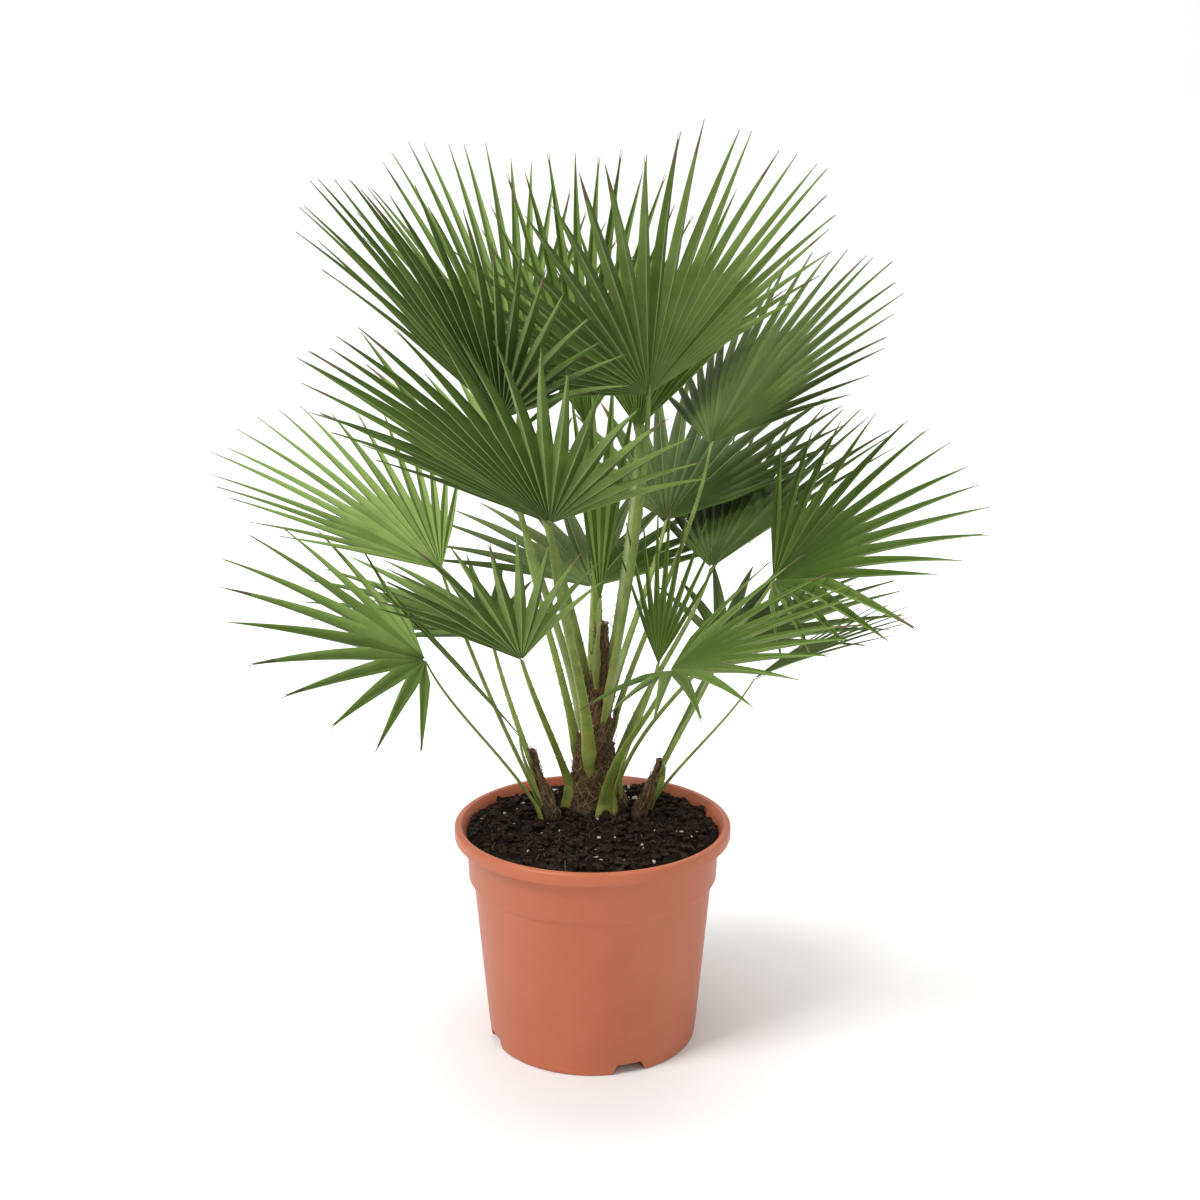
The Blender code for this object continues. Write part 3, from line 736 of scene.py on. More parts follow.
@dataclass(frozen=True)
class Finish:
    """A finish: two colours in patches, a gloss, and veins or grit in relief."""

    name: str
    first: tuple[float, float, float]
    second: tuple[float, float, float]
    patch_scale: float = 45.0
    patch_low: float = 0.38
    patch_high: float = 0.66
    roughness: float = 0.5
    specular: float = 0.5
    vein_scale: float = 0.0
    grit_scale: float = 0.0
    relief: float = 0.3
    relief_depth: float = 0.0003

    def material(self, groups: ShaderGroups) -> bpy.types.Material:
        """Makes the material.

        Args:
            groups: The shared shader groups.

        Returns:
            The material.
        """
        made = bpy.data.materials.new(self.name)
        made.use_nodes = True
        made.diffuse_color = (*self.first, 1.0)
        nodes, link = made.node_tree.nodes, made.node_tree.links.new
        shader = nodes["Principled BSDF"]
        shader.inputs["Roughness"].default_value = self.roughness
        shader.inputs["Specular IOR Level"].default_value = self.specular
        place = nodes.new("ShaderNodeTexCoord")
        tone = nodes.new("ShaderNodeGroup")
        tone.node_tree = groups.two_tone
        for label, value in (("Scale", self.patch_scale), ("Low", self.patch_low),
                             ("High", self.patch_high), ("First", (*self.first, 1.0)),
                             ("Second", (*self.second, 1.0))):
            tone.inputs[label].default_value = value
        link(place.outputs["Object"], tone.inputs["Place"])
        link(tone.outputs["Colour"], shader.inputs["Base Color"])
        relief = nodes.new("ShaderNodeGroup")
        relief.node_tree = groups.veins if self.vein_scale else groups.grit
        relief.inputs["Scale"].default_value = self.vein_scale or self.grit_scale or 600.0
        link(place.outputs["UV" if self.vein_scale else "Object"], relief.inputs["Place"])
        bump = nodes.new("ShaderNodeBump")
        bump.inputs["Strength"].default_value = self.relief
        bump.inputs["Distance"].default_value = self.relief_depth
        link(relief.outputs["Height"], bump.inputs["Height"])
        link(bump.outputs["Normal"], shader.inputs["Normal"])
        return made


def leaf(name: str, first: tuple[float, float, float], second: tuple[float, float, float],
         roughness: float = 0.48) -> Finish:
    """Gives the finish of a leaflet's face with fine veins."""
    return Finish(name, first, second, patch_scale=28.0, roughness=roughness, specular=0.22,
                  vein_scale=110.0, relief=0.35, relief_depth=0.0004)


# Each tone has a middle, a light and a dark finish: the tones are painted light and shade frond by frond,
# and the light and dark finishes are painted light and painted shade on the two sides of each leaflet's
# fold
LEAF_UPPER = {
    Tone.BRIGHT: (leaf("leaf_bright_a", (0.150, 0.232, 0.044), (0.115, 0.190, 0.032)),
                  leaf("leaf_bright_b", (0.215, 0.320, 0.075), (0.165, 0.262, 0.052)),
                  leaf("leaf_bright_c", (0.078, 0.142, 0.017), (0.104, 0.174, 0.026))),
    Tone.MID_LIT: (leaf("leaf_fresh_a", (0.112, 0.182, 0.028), (0.084, 0.146, 0.019)),
                 leaf("leaf_fresh_b", (0.180, 0.275, 0.058), (0.134, 0.220, 0.038)),
                 leaf("leaf_fresh_c", (0.056, 0.108, 0.010), (0.076, 0.134, 0.016))),
    Tone.DEEP: (leaf("leaf_deep_a", (0.086, 0.142, 0.020), (0.064, 0.112, 0.013)),
                leaf("leaf_deep_b", (0.128, 0.194, 0.040), (0.094, 0.152, 0.026)),
                leaf("leaf_deep_c", (0.052, 0.096, 0.010), (0.074, 0.122, 0.016))),
    Tone.GREY: (leaf("leaf_grey_a", (0.092, 0.140, 0.026), (0.068, 0.110, 0.018)),
                leaf("leaf_grey_b", (0.140, 0.192, 0.052), (0.104, 0.152, 0.034)),
                leaf("leaf_grey_c", (0.054, 0.092, 0.012), (0.078, 0.120, 0.020))),
}
LEAF_RIB = leaf("leaf_rib", (0.250, 0.330, 0.110), (0.200, 0.280, 0.080))
LEAF_TIP = leaf("leaf_tip", (0.175, 0.135, 0.070), (0.110, 0.100, 0.040), roughness=0.7)
# The undersides take middle, light and dark finishes too; the light and dark ones are painted light and
# painted shade on the two sides of each leaflet's fold.
LEAF_UNDER = (leaf("leaf_under_a", (0.108, 0.182, 0.028), (0.082, 0.146, 0.019), 0.55),
              leaf("leaf_under_b", (0.190, 0.280, 0.066), (0.145, 0.228, 0.046), 0.55),
              leaf("leaf_under_c", (0.050, 0.098, 0.009), (0.070, 0.124, 0.014), 0.55))
RIB_UNDER = leaf("leaf_rib_under", (0.265, 0.330, 0.120), (0.215, 0.280, 0.090), 0.55)

PETIOLE_GREEN = Finish("petiole_green", (0.205, 0.270, 0.048), (0.130, 0.184, 0.028), 60.0,
                       roughness=0.4, vein_scale=260.0, relief=0.25)
PETIOLE_OLIVE = Finish("petiole_olive", (0.245, 0.285, 0.054), (0.155, 0.200, 0.034), 60.0,
                       roughness=0.45, vein_scale=260.0, relief=0.3)
PETIOLE_PALE = Finish("petiole_pale_base", (0.330, 0.310, 0.070), (0.200, 0.215, 0.040), 90.0,
                      roughness=0.5, vein_scale=260.0, relief=0.35)
TOOTH = Finish("petiole_tooth", (0.420, 0.380, 0.200), (0.300, 0.230, 0.100), 300.0, roughness=0.5,
               grit_scale=1500.0)
BARK_DARK = Finish("bark_dark_fibre", (0.036, 0.021, 0.009), (0.080, 0.048, 0.020), 180.0,
                   roughness=0.95, grit_scale=700.0, relief=0.9, relief_depth=0.0008)
BARK_SCALE = Finish("bark_red_scale", (0.185, 0.086, 0.036), (0.080, 0.040, 0.017), 160.0,
                    roughness=0.8, vein_scale=420.0, relief=0.7, relief_depth=0.0006)
BARK_HAIR = Finish("bark_brown_hair", (0.150, 0.088, 0.036), (0.085, 0.048, 0.019), 200.0,
                   roughness=0.9, grit_scale=1500.0)
BARK_TAN = Finish("bark_tan_hair", (0.330, 0.225, 0.110), (0.190, 0.122, 0.055), 200.0,
                  roughness=0.9, grit_scale=1500.0)
PEAT = Finish("peat_dark", (0.0036, 0.0016, 0.0008), (0.018, 0.0098, 0.0056), 170.0, 0.42, 0.72, 0.95,
              specular=0.2, grit_scale=800.0, relief=1.0, relief_depth=0.0012)
PEAT_CRUMB = Finish("peat_crumb", (0.0050, 0.0024, 0.0012), (0.050, 0.028, 0.016), 260.0, 0.4, 0.7,
                    0.95, specular=0.2, grit_scale=1200.0, relief=0.9, relief_depth=0.0006)
PEAT_CHIP = Finish("peat_wood_chip", (0.080, 0.045, 0.024), (0.035, 0.020, 0.011), 260.0,
                   roughness=0.9, grit_scale=1200.0, relief=0.6)
PERLITE = Finish("perlite", (0.560, 0.530, 0.480), (0.330, 0.300, 0.260), 420.0, roughness=0.9,
                 grit_scale=1800.0, relief=0.6)
PEAT_FIBRE = Finish("peat_fibre", (0.200, 0.150, 0.095), (0.090, 0.060, 0.036), 200.0,
                    roughness=0.9, grit_scale=1500.0)
POT_PLASTIC = Finish("pot_plastic", (0.480, 0.134, 0.060), (0.445, 0.118, 0.050), 14.0, 0.35, 0.7,
                     0.46, specular=0.4, grit_scale=1100.0, relief=0.12, relief_depth=0.0002)
FLOOR_WHITE = Finish("floor_white", (0.86, 0.86, 0.86), (0.85, 0.85, 0.85), 2.0, roughness=0.9,
                     specular=0.1, grit_scale=300.0, relief=0.0)


class MaterialShelf:
    """Every material of the plant, made once and handed out by its finish."""

    def __init__(self) -> None:
        """Builds the shared groups."""
        self.groups = ShaderGroups()
        self.made: dict[str, bpy.types.Material] = {}

    def take(self, finish: Finish) -> bpy.types.Material:
        """Gives the material of a finish."""
        if finish.name not in self.made:
            self.made[finish.name] = finish.material(self.groups)
        return self.made[finish.name]


@dataclass
class Blade:
    """The leaflets of one frond: folded, ribbed, browned and split at their tips."""

    frond: Frond
    leaflets: list[Leaflet]
    thickness: float = 0.0007
    web_rows: tuple[float, ...] = (0.04, 0.3, 0.55, 0.8, 1.0)
    free_rows: tuple[float, ...] = (0.12, 0.26, 0.40, 0.54, 0.67, 0.78, 0.87, 0.94, 1.0)
    columns: tuple[float, ...] = (-1.0, -0.5, -0.07, 0.07, 0.5, 1.0)
    taper: float = 1.15
    fold: float = 0.95
    forked_share: float = 0.35
    fork_from: float = 0.90
    fork_spread: float = 0.0010

    RIB_SLOT = 3
    TIP_SLOT = 4
    UNDER_SLOTS = 5

    def build(self, shelf: MaterialShelf) -> bpy.types.Object:
        """Builds the blade.

        Args:
            shelf: Hands out the materials.

        Returns:
            The blade.
        """
        dice = random.Random(f"{SEED} blade {self.frond.name}")
        draft = Draft()
        for leaflet in self.leaflets:
            self._add_leaflet(draft, leaflet, dice)
        upper = [*LEAF_UPPER[self.frond.tone], LEAF_RIB, LEAF_TIP]
        under = [*LEAF_UNDER, RIB_UNDER, LEAF_TIP]
        materials = [shelf.take(finish) for finish in upper + under]
        blade = draft.piece(f"blade_{self.frond.name}", materials, weld=0.00002, sharp=25.0)
        thicken = blade.modifiers.new("thickness", "SOLIDIFY")
        thicken.thickness = self.thickness
        thicken.offset = 0.0
        thicken.material_offset = self.UNDER_SLOTS
        return placed(blade, "leaf", f"frond_{self.frond.name}")

    def _add_leaflet(self, draft: Draft, leaflet: Leaflet, dice: random.Random) -> None:
        """Adds one leaflet, bent, twisted and browned a little by chance, one side of its fold given a
        lighter finish as painted light and the other a darker one as painted shade.
        """
        tangent = leaflet.direction(leaflet.angle + 0.5 * pi).normalized()
        _, _, upper = self.frond.axes()
        free = leaflet.length - leaflet.split_radius(leaflet.angle)
        curl = free * dice.uniform(-0.01, 0.05)
        sway = free * dice.uniform(-0.025, 0.025)
        twist = dice.uniform(-0.35, 0.35)
        half_width = leaflet.split_radius(0) * radians(self.frond.spread) / self.frond.leaflets
        forked = dice.random() < self.forked_share
        # Finishes of the two sides of the fold: the first is lighter than the second, painted light and
        # painted shade.
        lit_and_shaded_sides = dice.choice(((1, 0), (1, 2), (1, 2), (0, 2)))
        brown_from = dice.choice((0.87, 0.94, 0.94, 1.1))
        rows, marks, beyonds = [], [], []
        for along in self.web_rows + tuple(1 + share for share in self.free_rows):
            beyond = max(along - 1, 0.0)
            beyonds.append(beyond)
            shift = tangent * sway * beyond ** 2 - upper * curl * beyond ** 2
            row = []
            for across in self.columns:
                spot = leaflet.point(across, min(along, 1.995), self.taper, self.fold) + shift
                spot += upper * across * half_width * twist * beyond * (1 - beyond)
                if forked and beyond > self.fork_from:
                    share = (beyond - self.fork_from) / (1 - self.fork_from)
                    spot += tangent * self.fork_spread * share * (1 if across > 0 else -1)
                row.append(spot)
            rows.append(row)
            marks.append([(across * 0.06, along * leaflet.length) for across in self.columns])

        def slot_of(row: int, place: int) -> int | None:
            """Gives the finish of a face: rib, tip, the painted light or painted shade of its side of the
            fold, or a hole in a forked tip.
            """
            if forked and place == 2 and beyonds[row] >= self.fork_from:
                return None
            if beyonds[row + 1] > brown_from:
                return self.TIP_SLOT
            if place == 2 and beyonds[row] < 0.5:
                return self.RIB_SLOT
            # Each side of the fold takes its painted light or painted shade finish.
            return lit_and_shaded_sides[place > 2]

        draft.add_grid(rows, slot_of, marks)


@dataclass
class Petiole:
    """The stalk of one frond: a flattened, toothed limb with a broad base down its stem."""

    frond: Frond
    path: list[Vector]
    sides: int = 12
    thickness_share: float = 0.66
    tooth_pitch: float = 0.011
    tooth_length: float = 0.0030
    sheath_drop: float = 0.030
    sheath_flare: float = 0.75

    POINTS = 30
    SHEATH_POINTS = 7
    OLIVE_SHARE = 0.10

    def build(self, shelf: MaterialShelf) -> bpy.types.Object:
        """Builds the petiole with its teeth.

        Args:
            shelf: Hands out the materials.

        Returns:
            The petiole.
        """
        dice = random.Random(f"{SEED} petiole {self.frond.name}")
        aim, _, upper = self.frond.axes()
        hub = Vector(self.frond.hub)
        rooted = self.path[0].z - SOIL_CROWN_HEIGHT < self.sheath_drop
        path = self._sheath(rooted) + self.path
        path += [hub - upper * 0.0012, hub + aim * 0.007 - upper * 0.0010,
                 hub + aim * 0.016 - upper * 0.0008]
        outward = Vector((self.path[-1].x - self.path[0].x, self.path[-1].y - self.path[0].y, 0))
        outward = outward.normalized() if outward.length > 0.001 else Vector((0, -1, 0))
        ups, sizes = [], []
        for place in range(-self.SHEATH_POINTS, self.POINTS + 3):
            share = min(max(place / (self.POINTS - 1), 0.0), 1.0)
            girth = self.frond.girth * (1.25 - 0.45 * share - 0.25 * share ** 3)
            below = max(-place / self.SHEATH_POINTS, 0.0)
            flare = 1.0 + 0.35 * max(0.0, 1 - share / 0.20) ** 1.5
            flare += (self.sheath_flare if rooted else -self.sheath_flare) * below
            if place >= self.POINTS:
                girth *= (0.8, 0.55, 0.2)[place - self.POINTS]
            sizes.append((girth * flare, girth * self.thickness_share))
            ups.append((-outward).lerp(upper, share))
        draft = Draft()
        last_olive = self.SHEATH_POINTS + int(self.OLIVE_SHARE * self.POINTS)

        def slot_of(row: int) -> int:
            """Gives the finish of a ring of the stalk by its row."""
            if rooted and row < self.SHEATH_POINTS // 2:
                return 2
            return 1 if row < last_olive else 0

        draft.add_tube(path, sizes, ups, self.sides, slot_of, flat_top=0.45)
        self._add_teeth(draft, ups[self.SHEATH_POINTS:], sizes[self.SHEATH_POINTS:], dice)
        materials = [shelf.take(finish) for finish in (PETIOLE_GREEN, PETIOLE_OLIVE, PETIOLE_PALE,
                                                       TOOTH)]
        stalk = draft.piece(f"stalk_{self.frond.name}", materials, sharp=70.0)
        return placed(stalk, "petiole", f"petiole_{self.frond.name}")

    def _sheath(self, rooted: bool) -> list[Vector]:
        """Gives the points of the stalk's base, from its lower end up to its foot.

        Args:
            rooted: Whether the base reaches the soil.

        Returns:
            The points, which sink into the stem's bark.
        """
        stem = next(each for each in STEMS if each.name == self.frond.stem)
        foot = self.path[0]
        axis, _, _ = stem.at(foot.z - STEM_FOOT)
        out = Vector((foot.x - axis.x, foot.y - axis.y, 0.0))
        gap = out.length - stem.at(foot.z - STEM_FOOT)[2]
        out.normalize()
        drop = min(foot.z - SOIL_CROWN_HEIGHT + 0.004, self.sheath_drop)
        points = []
        for place in range(self.SHEATH_POINTS):
            below = 1 - place / self.SHEATH_POINTS
            level = foot.z - drop * below
            centre, _, radius = stem.at(max(level - STEM_FOOT, 0.0))
            sunk = gap - self.frond.girth * (1.5 if rooted else 2.6) * below ** 1.5
            points.append(Vector((centre.x, centre.y, level)) + out * (radius + sunk))
        return points

    def _add_teeth(self, draft: Draft, ups: list[Vector], sizes: list[tuple[float, float]],
                   dice: random.Random) -> None:
        """Adds teeth along both edges of the stalk, pointing towards the blade."""
        length = sum((after - before).length for before, after in zip(self.path, self.path[1:]))
        count = int(length / self.tooth_pitch)
        for number in range(3, int(0.9 * count)):
            for hand in (-1, 1):
                share = (number + dice.uniform(-0.3, 0.3)) / count
                place = min(int(share * (self.POINTS - 1)), self.POINTS - 2)
                rest = share * (self.POINTS - 1) - place
                centre = self.path[place].lerp(self.path[place + 1], rest)
                tangent = (self.path[place + 1] - self.path[place]).normalized()
                side = tangent.cross(ups[place]).normalized() * hand
                up = side.cross(tangent)
                size = self.tooth_length * dice.uniform(0.7, 1.15) * (1.1 - 0.4 * share)
                edge = centre + side * (sizes[place][0] - 0.0004)
                point = edge + (side * 0.75 + tangent * 0.75) * size
                foot = 0.42 * size
                rows = [[edge - tangent * foot, edge + up * 0.4 * foot, edge + tangent * foot,
                         edge - up * 0.4 * foot],
                        [point] * 4]
                draft.add_grid(rows, lambda *_: 3, closed=True)


@dataclass
class StemSkin:
    """A stem's bark: shingled leaf bases, loose scales and woven fibres.

    The counts are the points round it, its rows, its scales and its fibres.
    """

    stem: Stem
    around: int
    rows: int
    scales: int
    strands: int
    shingle_height: float = 0.015
    relief: float = 0.0017
    slimming: float = 0.38

    RED_SHARE = 0.62

    def build(self, shelf: MaterialShelf) -> bpy.types.Object:
        """Builds the stem.

        Args:
            shelf: Hands out the materials.

        Returns:
            The stem.
        """
        dice = random.Random(f"{SEED} bark {self.stem.name}")
        top = self.stem.stations[-1][0][2] - STEM_FOOT
        thick = self.stem.stations[0][1] / 0.03
        rows, marks = [], []
        for row in range(self.rows + 1):
            height = -0.003 + (top + 0.003) * row / self.rows
            axis, _, radius = self.stem.at(max(height, 0.0))
            axis = Vector((axis.x, axis.y, STEM_FOOT + height))
            ring = []
            for place in range(self.around):
                turn = 2 * pi * place / self.around
                ring.append(axis + Vector((cos(turn), sin(turn), 0)) * max(
                    radius * self._slim(height / top) + self._relief(turn, height, thick), 0.001))
            rows.append(ring)
            marks.append([(place * 0.002, height) for place in range(self.around)])
        draft = Draft()
        red_row = int(self.RED_SHARE * self.rows)
        base = draft.add_grid(rows, lambda row, _: int(row > red_row), marks, closed=True)
        draft.faces.append(tuple(range(base, base + self.around)))
        draft.faces.append(tuple(range(len(draft.points) - 1, len(draft.points) - 1 - self.around, -1)))
        draft.slots += [0, 0]
        for number in range(self.scales):
            self._add_scale(draft, number, top, dice)
        for _ in range(self.strands):
            self._add_strand(draft, top, dice)
        materials = [shelf.take(finish) for finish in (BARK_DARK, BARK_SCALE, BARK_HAIR, BARK_TAN)]
        skin = draft.piece(f"bark_{self.stem.name}", materials, sharp=50.0)
        return placed(skin, "bark", self.stem.name)

    def _slim(self, share: float) -> float:
        """Gives the part of the stem's radius that its bark keeps, by share of the height."""
        return 1 - self.slimming * min(max(share / 0.6, 0.0), 1.0) ** 2

    def _relief(self, turn: float, height: float, thick: float) -> float:
        """Gives how far the bark stands out at a turn and a height."""
        wobble = noise.noise(Vector((cos(turn) * 3, sin(turn) * 3, height * 60)))
        phase = height / self.shingle_height + 2 * turn / (2 * pi) + 0.5 * wobble
        shingle = (phase - int(phase + 100) + 100) % 1.0
        fibre = noise.noise(Vector((cos(turn) * 22, sin(turn) * 22, height * 160)))
        return thick * (self.relief * (shingle ** 1.5 - 0.4) + 0.0009 * fibre + 0.0008 * wobble)

    def _add_scale(self, draft: Draft, number: int, top: float, dice: random.Random) -> None:
        """Adds one old leaf base that hugs the stem and stands off at its torn end."""
        share = number / self.scales
        height = 0.25 * top + share * (0.75 * top - 0.02)
        turn = number * radians(137.5) + dice.uniform(-0.2, 0.2)
        _, _, girth = self.stem.at(height)
        length = (0.015 + 0.012 * dice.random()) * min(1.0, 0.35 + girth / 0.02)
        width = girth * dice.uniform(0.18, 0.36)
        path, sizes, ups = [], [], []
        for step in range(7):
            part = step / 6
            level = min(height + length * part, top)
            axis, _, radius = self.stem.at(level)
            out = Vector((cos(turn + 0.1 * part), sin(turn + 0.1 * part), 0))
            path.append(Vector((axis.x, axis.y, STEM_FOOT + height + length * part))
                        + out * (radius * self._slim(level / top) + 0.0004 + 0.0035 * part ** 3))
            narrow = 1 - 0.5 * part - 0.25 * part ** 4
            sizes.append((width * narrow, 0.0011 * (1.1 - 0.8 * part)))
            ups.append(out)
        draft.add_tube(path, sizes, ups, 8, lambda _: 1)

    def _add_strand(self, draft: Draft, top: float, dice: random.Random) -> None:
        """Adds one fibre that winds round the stem or stands off it."""
        height = 0.92 * top * dice.random() ** 1.3
        turn = dice.uniform(0, 2 * pi)
        sweep = dice.choice((-1, 1)) * dice.uniform(0.3, 1.5)
        rise = dice.uniform(0.008, 0.040)
        loose = dice.uniform(0.0006, 0.0024) * (3.0 if dice.random() < 0.12 else 1.0)
        path = []
        for step in range(7):
            part = step / 6
            level = min(height + rise * part, top)
            axis, _, radius = self.stem.at(level)
            angle = turn + sweep * part
            out = Vector((cos(angle), sin(angle), 0))
            off = radius * self._slim(level / top) + 0.0008
            off += loose * (part ** 2 + 0.3 * sin(9 * part))
            path.append(Vector((axis.x, axis.y, STEM_FOOT + level)) + out * off)
        draft.add_strand(path, dice.uniform(0.00022, 0.00058), dice.choice((2, 2, 3)))


@dataclass
class Pot:
    """The nursery pot: a thin turned wall with a lip, a collar, foot notches and drain holes."""

    rim_radius: float = 0.130
    height: float = 0.2125
    wall: float = 0.0025
    lip_height: float = 0.0120
    lip_inner_radius: float = 0.1225
    lip_round: float = 0.0025
    collar_top_radius: float = 0.1190
    collar_foot_radius: float = 0.1172
    collar_foot_height: float = 0.1610
    body_top_radius: float = 0.1125
    body_top_height: float = 0.1560
    body_foot_radius: float = 0.0995
    foot_height: float = 0.0100
    foot_round: float = 0.0040
    foot_ring_width: float = 0.0060
    pad_radius: float = 0.0420
    notch_turns: tuple[int, ...] = (20, 110, 200, 290)
    notch_top_width: float = 0.0240
    notch_foot_width: float = 0.0340
    drain_circle_radius: float = 0.0680
    drain_radius: float = 0.0060
    steps: int = 180

    def inside(self) -> list[tuple[float, float]]:
        """Gives the inner side as (radius, height), from the centre of the floor upwards."""
        floor = self.foot_height + 0.0015 + self.wall
        return [
            (0.0, self.wall),
            (self.pad_radius, self.wall),
            (self.pad_radius + floor - self.wall, floor),
            (self.body_foot_radius - self.wall - 0.004, floor),
            (self.body_foot_radius - self.wall + 0.001, floor + 0.006),
            (self.body_top_radius - self.wall, self.body_top_height),
            (self.collar_foot_radius - self.wall, self.collar_foot_height + 0.001),
            (self.collar_top_radius - self.wall, self.height - self.lip_height - 0.001),
            (self.lip_inner_radius, self.height - 0.0015),
            (self.lip_inner_radius + 0.0015, self.height),
        ]

    def outside(self) -> list[tuple[float, float]]:
        """Gives the outer side as (radius, height), from the lip down to the centre."""
        lip_foot = self.height - self.lip_height
        ring_outer = self.body_foot_radius - self.foot_round + 0.001
        under = self.foot_height + 0.0015
        bead = [(self.rim_radius - self.lip_round * (1 - sin(turn)),
                 self.height - self.lip_round * (1 - cos(turn)))
                for turn in (radians(15 * step) for step in range(7))]
        return bead + [
            (self.rim_radius, lip_foot + 0.0015),
            (self.rim_radius - 0.0004, lip_foot + 0.0004),
            (self.rim_radius - 0.0015, lip_foot),
            (self.collar_top_radius + 0.0006, lip_foot - 0.0001),
            (self.collar_top_radius, lip_foot - 0.0008),
            (self.collar_foot_radius, self.collar_foot_height + 0.0008),
            (self.collar_foot_radius - 0.0006, self.collar_foot_height - 0.0002),
            (self.body_top_radius + 0.0005, self.body_top_height + 0.0004),
            (self.body_top_radius - 0.0001, self.body_top_height - 0.0006),
            (self.body_foot_radius + 0.0003, self.foot_height + 0.0030),
            (self.body_foot_radius - 0.0004, self.foot_height + 0.0016),
            (self.body_foot_radius - 0.0008, self.foot_round),
            (self.body_foot_radius - 0.35 * self.foot_round, 0.3 * self.foot_round),
            (ring_outer, 0.0),
            (ring_outer - self.foot_ring_width, 0.0),
            (ring_outer - self.foot_ring_width - 0.001, under),
            (self.pad_radius + under, under),
            (self.pad_radius, 0.0),
            (0.0, 0.0),
        ]

    def build(self, shelf: MaterialShelf) -> bpy.types.Object:
        """Builds the pot and cuts its notches and drain holes.

        Args:
            shelf: Hands out the materials.

        Returns:
            The pot.
        """
        shape = bmesh.new()
        corners = [shape.verts.new((radius, 0.0, height))
                   for radius, height in self.inside() + self.outside()]
        edges = [shape.edges.new(pair) for pair in zip(corners, corners[1:])]
        bmesh.ops.spin(shape, geom=corners + edges, axis=(0, 0, 1), cent=(0, 0, 0), angle=2 * pi,
                       steps=self.steps, use_merge=True)
        bmesh.ops.remove_doubles(shape, verts=shape.verts, dist=0.00002)
        bmesh.ops.recalc_face_normals(shape, faces=shape.faces)
        mesh = bpy.data.meshes.new("pot_wall")
        shape.to_mesh(mesh)
        shape.free()
        pot = bpy.data.objects.new("nursery_pot", mesh)
        bpy.context.scene.collection.objects.link(pot)
        cutters = [self._notch(turn) for turn in self.notch_turns]
        cutters += [self._drain(turn) for turn in range(0, 360, 45)]
        for cutter in cutters:
            cut = pot.modifiers.new("cut", "BOOLEAN")
            cut.operation = "DIFFERENCE"
            cut.object = cutter
            cut.solver = "EXACT"
        bpy.context.view_layer.update()
        graph = bpy.context.evaluated_depsgraph_get()
        cut_mesh = bpy.data.meshes.new_from_object(pot.evaluated_get(graph))
        pot.modifiers.clear()
        pot.data = cut_mesh
        for cutter in cutters:
            bpy.data.objects.remove(cutter, do_unlink=True)
        cut_mesh.materials.clear()
        cut_mesh.materials.append(shelf.take(POT_PLASTIC))
        cut_mesh.shade_smooth()
        cut_mesh.set_sharp_from_angle(angle=radians(38))
        return placed(pot, "pot_plastic", "pot")

    def _cutter(self, shape: bmesh.types.BMesh, turn: float) -> bpy.types.Object:
        """Makes a cutter object turned about the pot's axis."""
        mesh = bpy.data.meshes.new("cutter")
        shape.to_mesh(mesh)
        shape.free()
        cutter = bpy.data.objects.new("cutter", mesh)
        bpy.context.scene.collection.objects.link(cutter)
        cutter.rotation_euler.z = radians(turn)
        return cutter

    def _notch(self, turn: float) -> bpy.types.Object:
        """Makes a block whose sides lean in towards its top."""
        shape = bmesh.new()
        bmesh.ops.create_cube(shape, size=1.0)
        for corner in shape.verts:
            top = corner.co.z > 0
            corner.co.x = self.body_foot_radius + (0.010 if corner.co.x > 0 else -0.022)
            corner.co.y *= self.notch_top_width if top else self.notch_foot_width + 0.0050
            corner.co.z = self.foot_height if top else -0.0050
        return self._cutter(shape, turn)

    def _drain(self, turn: float) -> bpy.types.Object:
        """Makes a round pin for a drainage hole."""
        shape = bmesh.new()
        bmesh.ops.create_cone(shape, cap_ends=True, segments=32, depth=0.020,
                              radius1=self.drain_radius, radius2=self.drain_radius)
        for corner in shape.verts:
            corner.co.x += self.drain_circle_radius
            corner.co.z += self.foot_height + self.wall
        return self._cutter(shape, turn)


